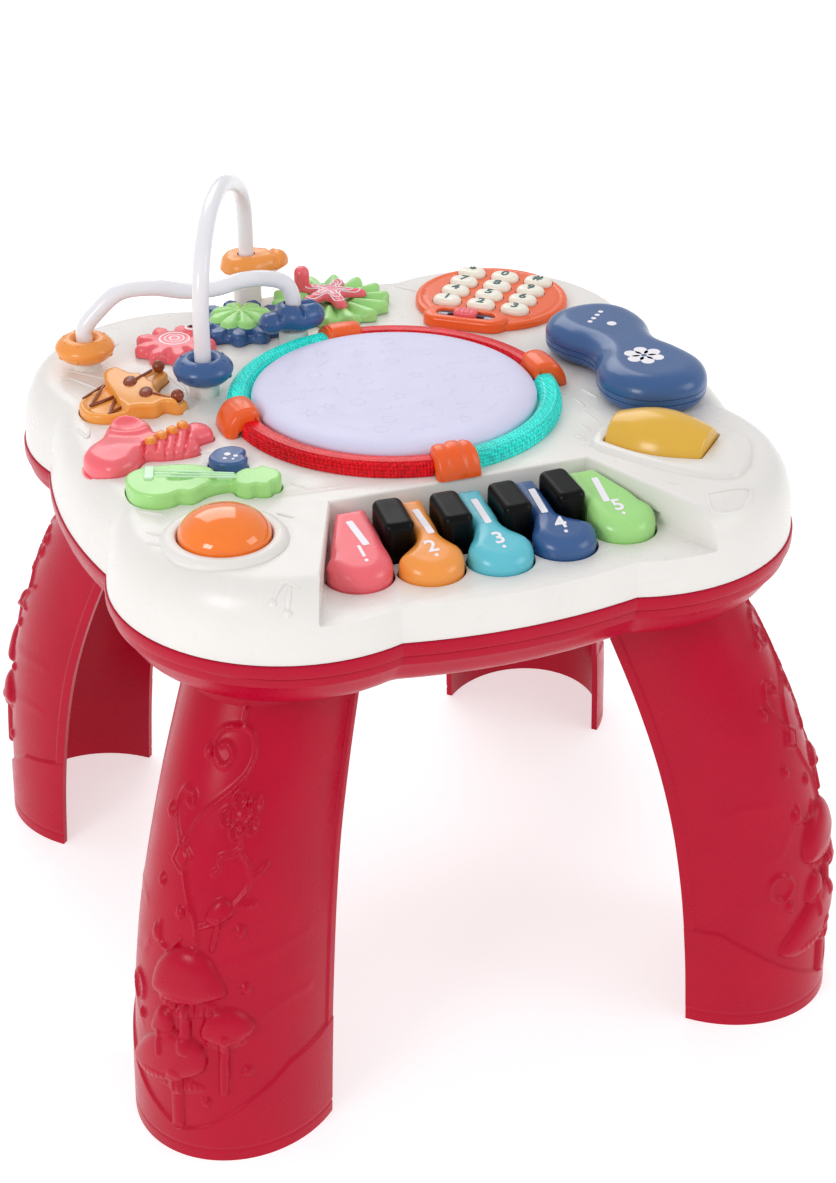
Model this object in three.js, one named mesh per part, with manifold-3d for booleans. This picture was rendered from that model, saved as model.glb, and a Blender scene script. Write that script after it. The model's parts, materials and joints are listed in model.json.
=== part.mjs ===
// Musical activity table for a small child: a lobed white play panel on a crimson tray with four
// curved C-section legs. Millimetres, +Z up, origin on the floor under the middle of the table.
import * as THREE from "three";
import Module from "manifold-3d";

const wasm = await Module();
wasm.setup();
const { Manifold, Mesh: SolidMesh } = wasm;

const RAD = Math.PI / 180;
const HALF_TURN = 180;
const FULL_TURN = 360;
const GAP = 0.3;

// Solids from closed lofts
const unit = (angle) => [Math.cos(angle * RAD), Math.sin(angle * RAD)];

function arc(cx, cy, radius, from, to, steps) {
  const points = [];
  for (let i = 0; i <= steps; i += 1) {
    const [c, s] = unit(from + ((to - from) * i) / steps);
    points.push([cx + radius * c, cy + radius * s]);
  }
  return points;
}

const circle = (cx, cy, radius, steps) => arc(cx, cy, radius, 0, FULL_TURN, steps).slice(0, -1);

function place(points, cx, cy, angle) {
  const [c, s] = unit(angle);
  return points.map(([x, y]) => [cx + x * c - y * s, cy + x * s + y * c]);
}

function obround(length, width, steps) {
  const r = width / 2;
  const half = length / 2 - r;
  const quarter = HALF_TURN / 2;
  return [
    ...arc(half, 0, r, -quarter, quarter, steps),
    ...arc(-half, 0, r, quarter, quarter + HALF_TURN, steps),
  ];
}

function roundedBox(length, width, r, steps) {
  const x = length / 2 - r;
  const y = width / 2 - r;
  const quarter = HALF_TURN / 2;
  return [
    ...arc(x, -y, r, -quarter, 0, steps),
    ...arc(x, y, r, 0, quarter, steps),
    ...arc(-x, y, r, quarter, HALF_TURN, steps),
    ...arc(-x, -y, r, HALF_TURN, HALF_TURN + quarter, steps),
  ];
}

// Moves every corner of a counter-clockwise outline outwards by `distance`.
function offset(points, distance) {
  const count = points.length;
  return points.map((point, i) => {
    const before = points[(i + count - 1) % count];
    const after = points[(i + 1) % count];
    const a = [point[0] - before[0], point[1] - before[1]];
    const b = [after[0] - point[0], after[1] - point[1]];
    const la = Math.hypot(...a) || 1;
    const lb = Math.hypot(...b) || 1;
    const n = [a[1] / la + b[1] / lb, -a[0] / la - b[0] / lb];
    const size = Math.hypot(...n) || 1;
    const grow = Math.min(MITRE_LIMIT, 2 / size);
    return [point[0] + (n[0] / size) * distance * grow, point[1] + (n[1] / size) * distance * grow];
  });
}
const MITRE_LIMIT = 1.35;

const zOf = (z, x, y) => (typeof z === "function" ? z(x, y) : z);

// Closed solid through outlines with the same number of corners, given from the bottom up; a corner
// may have a height of its own.
function loft(levels) {
  const count = levels[0].points.length;
  const positions = [];
  const faces = [];
  levels.forEach((level) => {
    level.points.forEach(([x, y, own]) => positions.push(x, y, own ?? zOf(level.z, x, y)));
  });
  for (let k = 0; k + 1 < levels.length; k += 1) {
    for (let i = 0; i < count; i += 1) {
      const j = (i + 1) % count;
      const a = k * count + i;
      const b = k * count + j;
      faces.push(a, b, b + count, a, b + count, a + count);
    }
  }
  const cap = (level, base, up) => {
    const flat = level.points.map(([x, y]) => new THREE.Vector2(x, y));
    THREE.ShapeUtils.triangulateShape(flat, []).forEach(([a, b, c]) => {
      const turn = (flat[b].x - flat[a].x) * (flat[c].y - flat[a].y)
        - (flat[b].y - flat[a].y) * (flat[c].x - flat[a].x);
      const keep = turn > 0 === up;
      faces.push(base + a, base + (keep ? b : c), base + (keep ? c : b));
    });
  };
  cap(levels[0], 0, false);
  cap(levels[levels.length - 1], (levels.length - 1) * count, true);
  return solid(positions, faces);
}

function solid(positions, faces) {
  const mesh = new SolidMesh({
    numProp: 3,
    vertProperties: Float32Array.from(positions),
    triVerts: Uint32Array.from(faces),
  });
  mesh.merge();
  return new Manifold(mesh);
}

// Levels are [offset, z]; the outline is moved outwards by the offset at that height.
const pad = (points, levels) => loft(levels.map(([d, z]) => ({ points: d ? offset(points, d) : points, z })));
// Levels are [share of full size about the centre, z].
const swell = (points, [cx, cy], levels) => loft(levels.map(([share, z]) => ({
  points: points.map(([x, y]) => [cx + (x - cx) * share, cy + (y - cy) * share]), z,
})));
const prism = (points, low, high) => loft([{ points, z: low }, { points, z: high }]);

// Solid of revolution about a vertical axis: profile corners are [radius, z], outside going up.
function revolve(cx, cy, profile, steps) {
  const positions = [];
  const faces = [];
  const count = profile.length;
  for (let i = 0; i < steps; i += 1) {
    const [c, s] = unit((FULL_TURN * i) / steps);
    profile.forEach(([r, z]) => positions.push(cx + r * c, cy + r * s, z));
  }
  for (let i = 0; i < steps; i += 1) {
    const next = (i + 1) % steps;
    for (let k = 0; k < count; k += 1) {
      const m = (k + 1) % count;
      const quad = [i * count + k, next * count + k, next * count + m, i * count + m];
      if (profile[k][0] > 0) faces.push(quad[0], quad[1], quad[2]);
      if (profile[m][0] > 0) faces.push(quad[0], quad[2], quad[3]);
    }
  }
  return solid(positions, faces);
}

// Round bar bent along a smooth path.
function bar(points, radius, sides, steps) {
  const path = new THREE.CatmullRomCurve3(points.map((p) => new THREE.Vector3(...p)), false, "centripetal");
  const section = new THREE.Shape(circle(0, 0, radius, sides).map(([x, y]) => new THREE.Vector2(x, y)));
  const sweep = new THREE.ExtrudeGeometry(section, { steps, bevelEnabled: false, extrudePath: path });
  const at = sweep.getAttribute("position");
  const positions = Array.from(at.array);
  const faces = Array.from({ length: at.count }, (_, i) => i);
  const shape = solid(positions, faces);
  return shape.volume() > 0 ? shape : solid(positions, faces.map((_, i) => i - (i % 3) + (2 - (i % 3))));
}

const join = (parts) => Manifold.union(parts);
const cut = (body, cutters) => body.subtract(Manifold.union(cutters));

const group = new THREE.Group();
group.name = "musical_activity_table";

function add(name, body, color, roughness, metalness = 0) {
  const { vertProperties, triVerts, numProp } = body.getMesh();
  const corners = new Float32Array(triVerts.length * 3);
  triVerts.forEach((v, i) => {
    for (let k = 0; k < 3; k += 1) corners[i * 3 + k] = vertProperties[v * numProp + k];
  });
  const geometry = new THREE.BufferGeometry();
  geometry.setAttribute("position", new THREE.BufferAttribute(corners, 3));
  geometry.computeVertexNormals();
  const mesh = new THREE.Mesh(geometry, new THREE.MeshStandardMaterial({ color, roughness, metalness }));
  mesh.name = name;
  group.add(mesh);
}

const COLOR = {
  panel: 0xf1ede4, crimson: 0xb9142f, milk: 0xdcd9ee, ring: 0xff5a6a, clip: 0xee5a1e,
  coral: 0xf0606a, orange: 0xf59a3c, sky: 0x62c8d8, denim: 0x33568e, leaf: 0xa6dd85,
  black: 0x151515, mustard: 0xdda52a, dome: 0xff7f11, key: 0xf4eddc, wire: 0xf0eef0,
  brown: 0x8a3a1a, steel: 0xa9adb3, board: 0x2c6b3c, speaker: 0x2a2a2c,
};
const GLOSS = 0.3;
const SATIN = 0.45;

// Plan of the rim
const RIM = {
  lobeCentre: 81.5, lobeRadius: 84, sideRadius: 260, sideCentre: 92.9, crease: 3,
  creaseSteps: 2,
};
// Steps round a lobe and along a side bow, for the skins and for the hidden hollows.
const FINE = [8, 3];
const COARSE = [5, 2];

// Four round lobes joined by shallow side bows; the creases between them stay round when offset.
function rim(distance, [lobeSteps, sideSteps] = FINE) {
  const d = distance - RIM.crease;
  const between = Math.hypot(RIM.lobeCentre, RIM.lobeCentre + RIM.sideCentre);
  const along = (between ** 2 + RIM.lobeRadius ** 2 - RIM.sideRadius ** 2) / (2 * between);
  const across = Math.sqrt(RIM.lobeRadius ** 2 - along ** 2);
  // Crease between the front-right lobe and the front bow, seen in the front quarter.
  const ax = RIM.lobeCentre;
  const ay = -RIM.lobeCentre;
  const ux = -RIM.lobeCentre / between;
  const uy = (RIM.lobeCentre + RIM.sideCentre) / between;
  const px = ax + ux * along - uy * across;
  const py = ay + uy * along + ux * across;
  const lobeAngle = Math.atan2(py - ay, px - ax) / RAD;
  const sideAngle = Math.atan2(py - RIM.sideCentre, px) / RAD;
  const half = sideAngle + HALF_TURN / 2;
  const points = [];
  for (let k = 0; k < 4; k += 1) {
    const turn = (k * FULL_TURN) / 4;
    const bow = arc(0, RIM.sideCentre, RIM.sideRadius + d, -HALF_TURN / 2 - half, -HALF_TURN / 2 + half, sideSteps);
    const crease = arc(px, py, -d, sideAngle + HALF_TURN, lobeAngle + HALF_TURN, RIM.creaseSteps).slice(1, -1);
    const lobe = arc(ax, ay, RIM.lobeRadius + d, lobeAngle, -HALF_TURN / 2 - lobeAngle, lobeSteps);
    const mirror = crease.map(([x, y]) => [-y, -x]).reverse();
    points.push(...place([...bow, ...crease, ...lobe, ...mirror], 0, 0, turn));
  }
  return points;
}

// Heights and the key recess
const Z = {
  trayFloor: 219.3, trayTop: 246.3, panelFoot: 246.6, lip: 263.5, lipUnder: 261, under: 278.6, top: 281,
  board: 258,
};

const RECESS = { backHalf: 62.4, back: -86.1, frontHalf: 93, front: -159.6, out: -175, wall: 2.5 };
const recessSlope = (RECESS.frontHalf - RECESS.backHalf) / (RECESS.back - RECESS.front);
const recessHalf = (y) => RECESS.backHalf + (RECESS.back - y) * recessSlope;
const recessPlan = (grow) => [
  [-recessHalf(RECESS.out) - grow, RECESS.out],
  [recessHalf(RECESS.out) + grow, RECESS.out],
  [RECESS.backHalf + grow, RECESS.back + grow],
  [-RECESS.backHalf - grow, RECESS.back + grow],
];

// Piano keys
const KEY = {
  headRadius: 14.8, headSteps: 7, back: -93, neckEnd: -117, low: 253, wall: 2.2, roomTop: 266, roomSteps: 10, clear: 0.9,
  backTop: 279.4, slope: 0.164, armTop: 259.4, armBack: -79.4, armFront: -95, armInset: 1,
};
const HINGE = { y: -84, z: 256, rod: 2, bore: 2.35, past: 2, steps: 10 };
const keyTop = (drop) => (x, y) => KEY.backTop + (y - KEY.back) * KEY.slope - drop;

// headX/headY: middle of the round front; left and right: neck sides at the back and at its end.
const KEYS = [
  { name: "key_pink", color: COLOR.coral, head: [-62.8, -125], left: [-62.4, -73.2], right: [-48.4, -48.8] },
  { name: "key_orange", color: COLOR.orange, head: [-31.5, -130], left: [-32.4, -33.2], right: [-21.9, -22.6] },
  { name: "key_cyan", color: COLOR.sky, head: [0, -132.6], left: [-6, -6.3], right: [6, 6.3] },
  { name: "key_blue", color: COLOR.denim, head: [31.5, -130], left: [21.9, 22.6], right: [32.4, 33.2] },
  { name: "key_green", color: COLOR.leaf, head: [62.8, -125], left: [48.4, 48.8], right: [62.4, 73.2] },
];
const EASE_SHARES = [0.25, 0.5, 0.75];
const easeShare = (t) => t * t * (3 - 2 * t);

function keyOutline({ head, left, right }) {
  const [cx, cy] = head;
  const flare = (neck, side) => EASE_SHARES.map((t) => [
    neck + (side - neck) * easeShare(t),
    KEY.neckEnd + (cy - KEY.neckEnd) * t,
  ]);
  return [
    [left[0], KEY.back],
    [left[1], KEY.neckEnd],
    ...flare(left[1], cx - KEY.headRadius),
    ...arc(cx, cy, KEY.headRadius, HALF_TURN, FULL_TURN, KEY.headSteps),
    ...flare(right[1], cx + KEY.headRadius).reverse(),
    [right[1], KEY.neckEnd],
    [right[0], KEY.back],
  ];
}

const alongX = (x0, x1, y, z, r, steps) => prism(circle(0, 0, r, steps), x0, x1)
  .rotate([0, HALF_TURN / 2, 0]).translate([0, y, z]);
const box = (x0, x1, y0, y1, z0, z1) => prism([[x0, y0], [x1, y0], [x1, y1], [x0, y1]], z0, z1);

const KEY_EDGE = { side: 4.2, bevel: 1.1, bevelDrop: 1.5, face: 3.4 };
KEYS.forEach((key) => {
  const outline = keyOutline(key);
  const shell = pad(outline, [
    [0, KEY.low], [0, keyTop(KEY_EDGE.side)], [-KEY_EDGE.bevel, keyTop(KEY_EDGE.bevelDrop)],
    [-KEY_EDGE.face, keyTop(0)],
  ]);
  const half = KEY.headRadius - KEY.wall;
  const under = circle(...key.head, half, KEY.roomSteps);
  const room = prism(under, KEY.low - 1, KEY.roomTop);
  const x0 = key.left[0] + KEY.armInset;
  const x1 = key.right[0] - KEY.armInset;
  const arm = box(x0, x1, KEY.armFront, KEY.armBack, KEY.low, KEY.armTop);
  const bore = alongX(x0 - 1, x1 + 1, HINGE.y, HINGE.z, HINGE.bore, HINGE.steps);
  add(key.name, cut(join([cut(shell, [room]), arm]), [bore]), key.color, GLOSS);
});

// Black keys on their own bar
const SHARP = { width: 13.8, length: 24, round: 3.6, foot: 249.4, steps: 2, side: 3, face: 2.4 };
const SHARPS = [[-40.5, -107.4, -3], [-14.1, -109.6, -1], [14.1, -109.6, 1], [40.5, -107.4, 3]];
const SHARP_TOP = { back: 283.6, slope: 0.1, from: -99 };
const BAR = { pastKey: 9.6, front: -118, back: -102, low: 244.5, high: 249.6, wall: 3, legLow: 222.5, bracketTop: 260 };
// The bar's end brackets stand clear of the outer keys, and the rod ends just past them.
BAR.half = KEYS[KEYS.length - 1].right[0] + BAR.pastKey;
HINGE.half = BAR.half + HINGE.past;
const sharpPlan = ([x, y, turn]) => place(roundedBox(SHARP.width, SHARP.length, SHARP.round, SHARP.steps), x, y, turn);
const sharpTop = (drop) => (x, y) => SHARP_TOP.back + (y - SHARP_TOP.from) * SHARP_TOP.slope - drop;
{
  const blocks = SHARPS.map((sharp) => pad(sharpPlan(sharp), [
    [0, SHARP.foot], [0, sharpTop(SHARP.side)], [-SHARP.face, sharpTop(0)],
  ]));
  const ends = [-1, 1].flatMap((side) => {
    const a = side * BAR.half;
    const b = side * (BAR.half - BAR.wall);
    const [x0, x1] = [Math.min(a, b), Math.max(a, b)];
    return [
      box(x0, x1, BAR.back - BAR.wall, HINGE.y + BAR.wall + HINGE.bore, BAR.low, BAR.bracketTop),
      box(x0, x1, BAR.front, BAR.back, BAR.legLow, BAR.high),
    ];
  });
  const base = box(-BAR.half, BAR.half, BAR.front, BAR.back, BAR.low, BAR.high);
  const bore = alongX(-BAR.half - 1, BAR.half + 1, HINGE.y, HINGE.z, HINGE.bore, HINGE.steps);
  add("black_key_bar", cut(join([...blocks, base, ...ends]), [bore]), COLOR.black, GLOSS);
  add("key_hinge_rod", alongX(-HINGE.half, HINGE.half, HINGE.y, HINGE.z, HINGE.rod, HINGE.steps),
    COLOR.steel, SATIN, 1);
}

// Plans of the items on the panel
const smooth = (points, steps) => {
  const curve = new THREE.CatmullRomCurve3(points.map(([x, y]) => new THREE.Vector3(x, y, 0)), true, "centripetal");
  return curve.getPoints(steps).slice(0, -1).map((p) => [p.x, p.y]);
};
const GUITAR = smooth([
  [-145, -50.5], [-143, -59.5], [-136.5, -65.5], [-129, -65], [-120, -67], [-111, -62], [-100, -61.5], [-98, -68],
  [-91, -72.5], [-82, -70.5], [-77.5, -64], [-78, -56], [-85, -51.5], [-93, -53.5], [-98, -55.5],
  [-109, -43], [-118, -38.5], [-127, -36.5], [-136, -36.5], [-143, -41],
], 22);
const TRUMPET = smooth([
  [-155.5, -11], [-153, -22], [-146, -29], [-136, -26.5], [-128, -18.5], [-118, -21], [-103, -20],
  [-101, -11.5], [-93, -8], [-92.5, 0], [-99, 5], [-108, 1], [-117, 0], [-119, 11], [-125, 20.5],
  [-133, 21], [-138, 12.5], [-144.5, 3], [-152, -4],
], 26);
const DRUM_TOY = smooth([
  [-144, 43.5], [-142, 32], [-133, 26.5], [-119, 28], [-112, 25.5], [-106, 29], [-100, 25], [-94.5, 29.5],
  [-98, 36], [-105, 37.5], [-106, 46], [-101, 56], [-94.5, 64.5], [-98, 71.5], [-105, 68], [-111, 65],
  [-118, 75.5], [-124, 72.5], [-128, 60], [-139, 53],
], 26);
const SHELL_BUTTON = smooth([
  [-102.5, -33], [-99.5, -41], [-92, -43.5], [-86.5, -41], [-86, -35.5], [-84, -30], [-88, -25], [-96, -25],
], 13);

const GEAR = {
  amplitude: 1.9, low: 281.6, high: 287, edge: 0.8, bore: 3.7, post: 3.2, postTop: 285.1, boreTop: 285.4, stepsPerTooth: 4,
};
const GEARS = [
  { name: "pink_gear", centre: [-81.6, 97.8], pitch: 18.9, teeth: 9, phase: 21.8, color: COLOR.coral },
  { name: "blue_gear", centre: [-42, 113.6], pitch: 23.1, teeth: 11, phase: 0, color: COLOR.denim },
  { name: "green_gear", centre: [10.6, 124.2], pitch: 29.4, teeth: 14, phase: 0, color: COLOR.leaf },
];
const bearing = (from, to) => Math.atan2(to[1] - from[1], to[0] - from[0]) / RAD;
// The middle gear sets the others: a tooth of theirs points at it where it shows a gap.
const [PINK, BLUE, GREEN] = GEARS;
BLUE.phase = bearing(BLUE.centre, PINK.centre) + HALF_TURN / BLUE.teeth;
PINK.phase = bearing(PINK.centre, BLUE.centre);
{
  const toGreen = bearing(BLUE.centre, GREEN.centre);
  const pitchTurn = FULL_TURN / BLUE.teeth;
  const share = (((toGreen - BLUE.phase) / pitchTurn) % 1 + 1) % 1;
  GREEN.phase = bearing(GREEN.centre, BLUE.centre) + (FULL_TURN / GREEN.teeth) * (share - 1 / 2);
}
const gearPlan = ({ centre, pitch, teeth, phase }) => {
  const steps = teeth * GEAR.stepsPerTooth;
  return Array.from({ length: steps }, (_, i) => {
    const angle = phase + (FULL_TURN * i) / steps;
    const r = pitch + GEAR.amplitude * Math.cos((angle - phase) * teeth * RAD);
    const [c, s] = unit(angle);
    return [centre[0] + r * c, centre[1] + r * s];
  });
};

const PAD_AT = {
  centre: [94.3, 103.5], plate: [92, 100.3], plateRadius: 40, turn: -41, across: 18.6, down: 13.4, low: 281.3, top: 284.8, edge: 1.2,
};
const PAD_KEY = { length: 15.2, width: 10.8, steps: 3, low: 279.3, rim: 281, high: 288, flange: 0.7, clear: 0.45, step: 0.05, taper: 1.4 };
const keypadKeys = [];
for (let row = 0; row < 4; row += 1) {
  for (let column = 0; column < 3; column += 1) {
    const u = (column - 1) * PAD_AT.across;
    const v = (row - 3 / 2) * PAD_AT.down;
    const [[x, y]] = place([[u, v]], PAD_AT.centre[0], PAD_AT.centre[1], PAD_AT.turn);
    keypadKeys.push({ row, column, plan: place(obround(PAD_KEY.length, PAD_KEY.width, PAD_KEY.steps), x, y, PAD_AT.turn) });
  }
}

const SWITCH = {
  centre: [68, 77], turn: -38, length: 45, width: 17.5, slotLength: 31, slotWidth: 8.4, floor: 283.2,
  top: 287.2, low: 283.5, high: 289.4, knobLength: 12, knobWidth: 7.6, steps: 4,
};

const HANDSET = { low: 281.5, seamLow: 290.4, seamHigh: 290.7, top: 300.4 };
const HANDSET_PLAN = smooth([
  [113, 45.5], [98, 39.5], [91.5, 26], [94, 12], [100.5, -1], [101, -12], [95, -25], [93, -40], [97.5, -52],
  [106, -60], [118, -63], [131, -61], [141.5, -51], [145.5, -38], [142, -20], [137.5, -8], [138, 2], [141.5, 16],
  [139, 33], [128.5, 43.5],
], 26);

// Barrel roller: its window follows its belly, and a raised frame stands round the window.
const ROLLER = {
  centre: [101.3, -83.9], turn: -45, z: 277.5, half: 23.5, mid: 18.9, end: 13.9, bore: 2.4, axle: 2, axleHalf: 28,
  clear: 0.7, frameTop: 283.6, frameEdge: 1.6,
  holderIn: 25, holderOut: 27.6, holderHalf: 6, holderLow: 272, steps: 18,
};
const ROLLER_STATIONS = [-1, -0.5, 0, 0.5, 1].map((share) => share * ROLLER.half);
const belly = (s) => ROLLER.end + (ROLLER.mid - ROLLER.end) * Math.cos((s / ROLLER.half) * (HALF_TURN / 2) * RAD);
// Outlines as [along the axle, across it] from the roller's middle.
const ROLLER_FRAME = smooth([
  [-28, -17], [-10, -23.5], [7, -26.7], [30, -27], [42, -22], [45, -12], [42, 4], [36, 17], [21, 22.5], [4, 23],
  [-8, 20.5], [-18, 17], [-28, 12],
], 22);
const ROLLER_WINDOW = [-1, 1].flatMap((side) => ROLLER_STATIONS.map((s) => [
  -side * (s + Math.sign(s) * ROLLER.clear), side * (belly(s) + ROLLER.clear),
]));
const DOME = {
  centre: [-116, -103], radius: 20.4, hole: 20.9, flange: 22.4, flangeLow: 275, flangeHigh: 277.8,
  skirt: 283, top: 295.6, bezelIn: 21.1, bezelOut: 28, bezelTop: 284, steps: 18,
};

const PRESS_HOLE = 0.5;
const FLANGE = { grow: 0.9, low: 275, high: 277.8, pocketTop: 278.3, pocketClear: 0.5 };
const RING_STEPS = 32;
const LIGHT = { outer: 80.6, width: 11.2, low: 281.3, base: 283.4, high: 289.2, round: 3.4, drop: 2.6 };
LIGHT.inner = LIGHT.outer - LIGHT.width;
// The drum head moves down inside the light ring, and its skirt passes through the hole in the panel.
const DRUM = {
  clear: 0.8, low: 284, shoulder: 289, top: 291.5, edge: 2.6, skirtInset: 6.6, skirtWall: 2.5, skirtLow: 271, holeClear: 2,
};
DRUM.radius = LIGHT.inner - DRUM.clear;
DRUM.skirtOut = DRUM.radius - DRUM.skirtInset;
DRUM.skirtIn = DRUM.skirtOut - DRUM.skirtWall;
DRUM.hole = DRUM.skirtOut + DRUM.holeClear;
// The back clip is lower than the others, clear of the bead that hangs over it.
const CLIP = {
  clear: 0.1, past: 7, half: 10.6, low: 283.7, shoulder: 290, tops: { right: 294.4, back: 292.4, left: 294.4, front: 294.4 },
  edge: 3, hookClear: 0.4, hookLow: 281.4, corner: 4, hookCorner: 3,
};
CLIP.inner = LIGHT.inner + CLIP.clear;
CLIP.outer = LIGHT.outer + CLIP.past;
CLIP.hookIn = LIGHT.outer + CLIP.hookClear;

const WIRE = { radius: 4.3, sides: 8, spans: 30, hole: 4.8, collar: 7.4, steps: 10, room: 6 };
const WIRE_LOW_PATH = [
  [-128, 95, 277], [-128, 95, 286], [-128, 95, 295], [-127.6, 95, 301], [-121, 94.8, 309], [-109, 94.4, 318],
  [-93, 94, 318.4], [-75, 94, 314], [-59, 93.5, 313.6], [-47, 92.4, 316.2], [-34.5, 89.4, 316.6], [-25.9, 87, 313.6],
  [-22.5, 86, 306], [-22.5, 86, 295], [-22.5, 86, 286], [-22.5, 86, 277],
];
const WIRE_TALL_PATH = [
  [-82, 44, 277], [-82, 44, 290], [-82, 44, 305], [-82, 44, 320], [-80.5, 47, 336], [-76, 56, 350], [-67, 74, 361],
  [-55, 97, 364], [-43.5, 119, 358], [-33, 139, 347], [-28, 148, 334], [-27, 150, 318], [-27, 150, 302],
  [-27, 150, 286], [-27, 150, 268],
];
// Each wire end: place, foot of its collar and the stop its bead rests on.
const POSTS = [[-128, 95, 276, 285], [-22.5, 86, 276, 289.2], [-82, 44, 276, 287], [-27, 150, 266, 290.4]];

// White play panel
const PANEL_SHOULDER = [[0, 246.6], [-0.8, 259.5], [-4, 271.5], [-9.8, 278.9], [-17, 281]];
const PANEL_ROOM = [[-2.6, 240], [-6, 264], [-18, 278.6]];
const GEAR_BED = { grow: 3.4, low: 266, top: 281 };
{
  const skin = loft(PANEL_SHOULDER.map(([d, z]) => ({ points: rim(d), z })));
  const recess = prism(recessPlan(0), Z.lip, Z.top + 1);
  const bed = join(GEARS.map((gear) => prism(
    circle(...gear.centre, gear.pitch + GEAR.amplitude + GEAR_BED.grow, DOME.steps), GEAR_BED.low, GEAR_BED.top,
  )));
  const outer = join([cut(skin, [recess]), bed.intersect(prism(rim(-2), GEAR_BED.low, GEAR_BED.top))]);
  const recessUnder = prism(recessPlan(RECESS.wall), Z.lipUnder, Z.top + 1);
  const room = cut(loft(PANEL_ROOM.map(([d, z]) => ({ points: rim(d, COARSE), z }))), [recessUnder]);

  const keyHoles = KEYS.map((key) => prism(offset(keyOutline(key), KEY.clear), Z.lipUnder - 1, Z.lip + 1));
  const sharpHoles = SHARPS.map((sharp) => prism(offset(sharpPlan(sharp), KEY.clear), Z.lipUnder - 1, Z.lip + 1));
  const through = [Z.under - 1, Z.top + 4];
  const hole = (plan, clear) => prism(offset(plan, clear), ...through);
  const buttons = [GUITAR, TRUMPET, DRUM_TOY, SHELL_BUTTON].map((plan) => hole(plan, PRESS_HOLE));
  const pads = keypadKeys.map(({ plan }) => hole(plan, PAD_KEY.flange + PAD_KEY.clear));
  const drumHole = prism(circle(0, 0, DRUM.hole, RING_STEPS), ...through);
  const domeHole = prism(circle(...DOME.centre, DOME.hole, DOME.steps), ...through);
  const bezel = revolve(...DOME.centre, [
    [DOME.bezelIn, Z.under], [DOME.bezelOut, Z.under], [DOME.bezelOut, Z.top + 1], [DOME.bezelOut - 2, DOME.bezelTop],
    [DOME.bezelIn, DOME.bezelTop],
  ], DOME.steps);
  const rolled = (points) => place(points, ...ROLLER.centre, ROLLER.turn);
  const frame = pad(rolled(ROLLER_FRAME), [
    [0, Z.under], [0, Z.top + 1], [-ROLLER.frameEdge, ROLLER.frameTop],
  ]);
  const windowHole = prism(rolled(ROLLER_WINDOW), ROLLER.holderLow, ROLLER.frameTop + 1);
  const channel = prism(rolled(roundedBox(ROLLER.axleHalf * 2 + 1, ROLLER.bore * 2, 1, 2)),
    ROLLER.z, ROLLER.z + ROLLER.bore);
  const holders = [-1, 1].map((side) => {
    const middle = (side * (ROLLER.holderIn + ROLLER.holderOut)) / 2;
    const plan = [[-1, -1], [1, -1], [1, 1], [-1, 1]].map(([a, b]) => [
      middle + (a * (ROLLER.holderOut - ROLLER.holderIn)) / 2, b * ROLLER.holderHalf,
    ]);
    return prism(rolled(plan), ROLLER.holderLow, Z.under + 1);
  });
  const axleHole = prism(circle(0, 0, ROLLER.bore, HINGE.steps), -ROLLER.axleHalf - 1, ROLLER.axleHalf + 1)
    .rotate([0, HALF_TURN / 2, 0]).rotate([0, 0, ROLLER.turn]).translate([...ROLLER.centre, ROLLER.z]);
  const gearPosts = GEARS.map((gear) => prism(circle(...gear.centre, GEAR.post, HINGE.steps), Z.under, GEAR.postTop));
  const collars = POSTS.map(([x, y, low, high]) => pad(circle(x, y, WIRE.collar, WIRE.steps), [
    [0, low], [0, high - 1], [-1, high],
  ]));
  const wireHoles = POSTS.map(([x, y, low, high]) => prism(circle(x, y, WIRE.hole, WIRE.steps), low - WIRE.room, high + 1));
  const pockets = [GUITAR, TRUMPET, DRUM_TOY, SHELL_BUTTON].map((plan) => prism(
    offset(plan, FLANGE.grow + FLANGE.pocketClear), FLANGE.low - 5, FLANGE.pocketTop,
  ));
  const domePocket = prism(circle(...DOME.centre, DOME.flange + FLANGE.pocketClear, DOME.steps), FLANGE.low - 5, FLANGE.pocketTop);
  const body = cut(outer, [room, ...pockets, domePocket]);
  const raised = join([body, bezel, frame, ...holders, ...gearPosts, ...collars]);
  add("top_panel", cut(raised, [
    ...keyHoles, ...sharpHoles, ...buttons, ...pads, drumHole, domeHole, windowHole, channel, axleHole, ...wireHoles,
  ]), COLOR.panel, SATIN);
}

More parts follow.
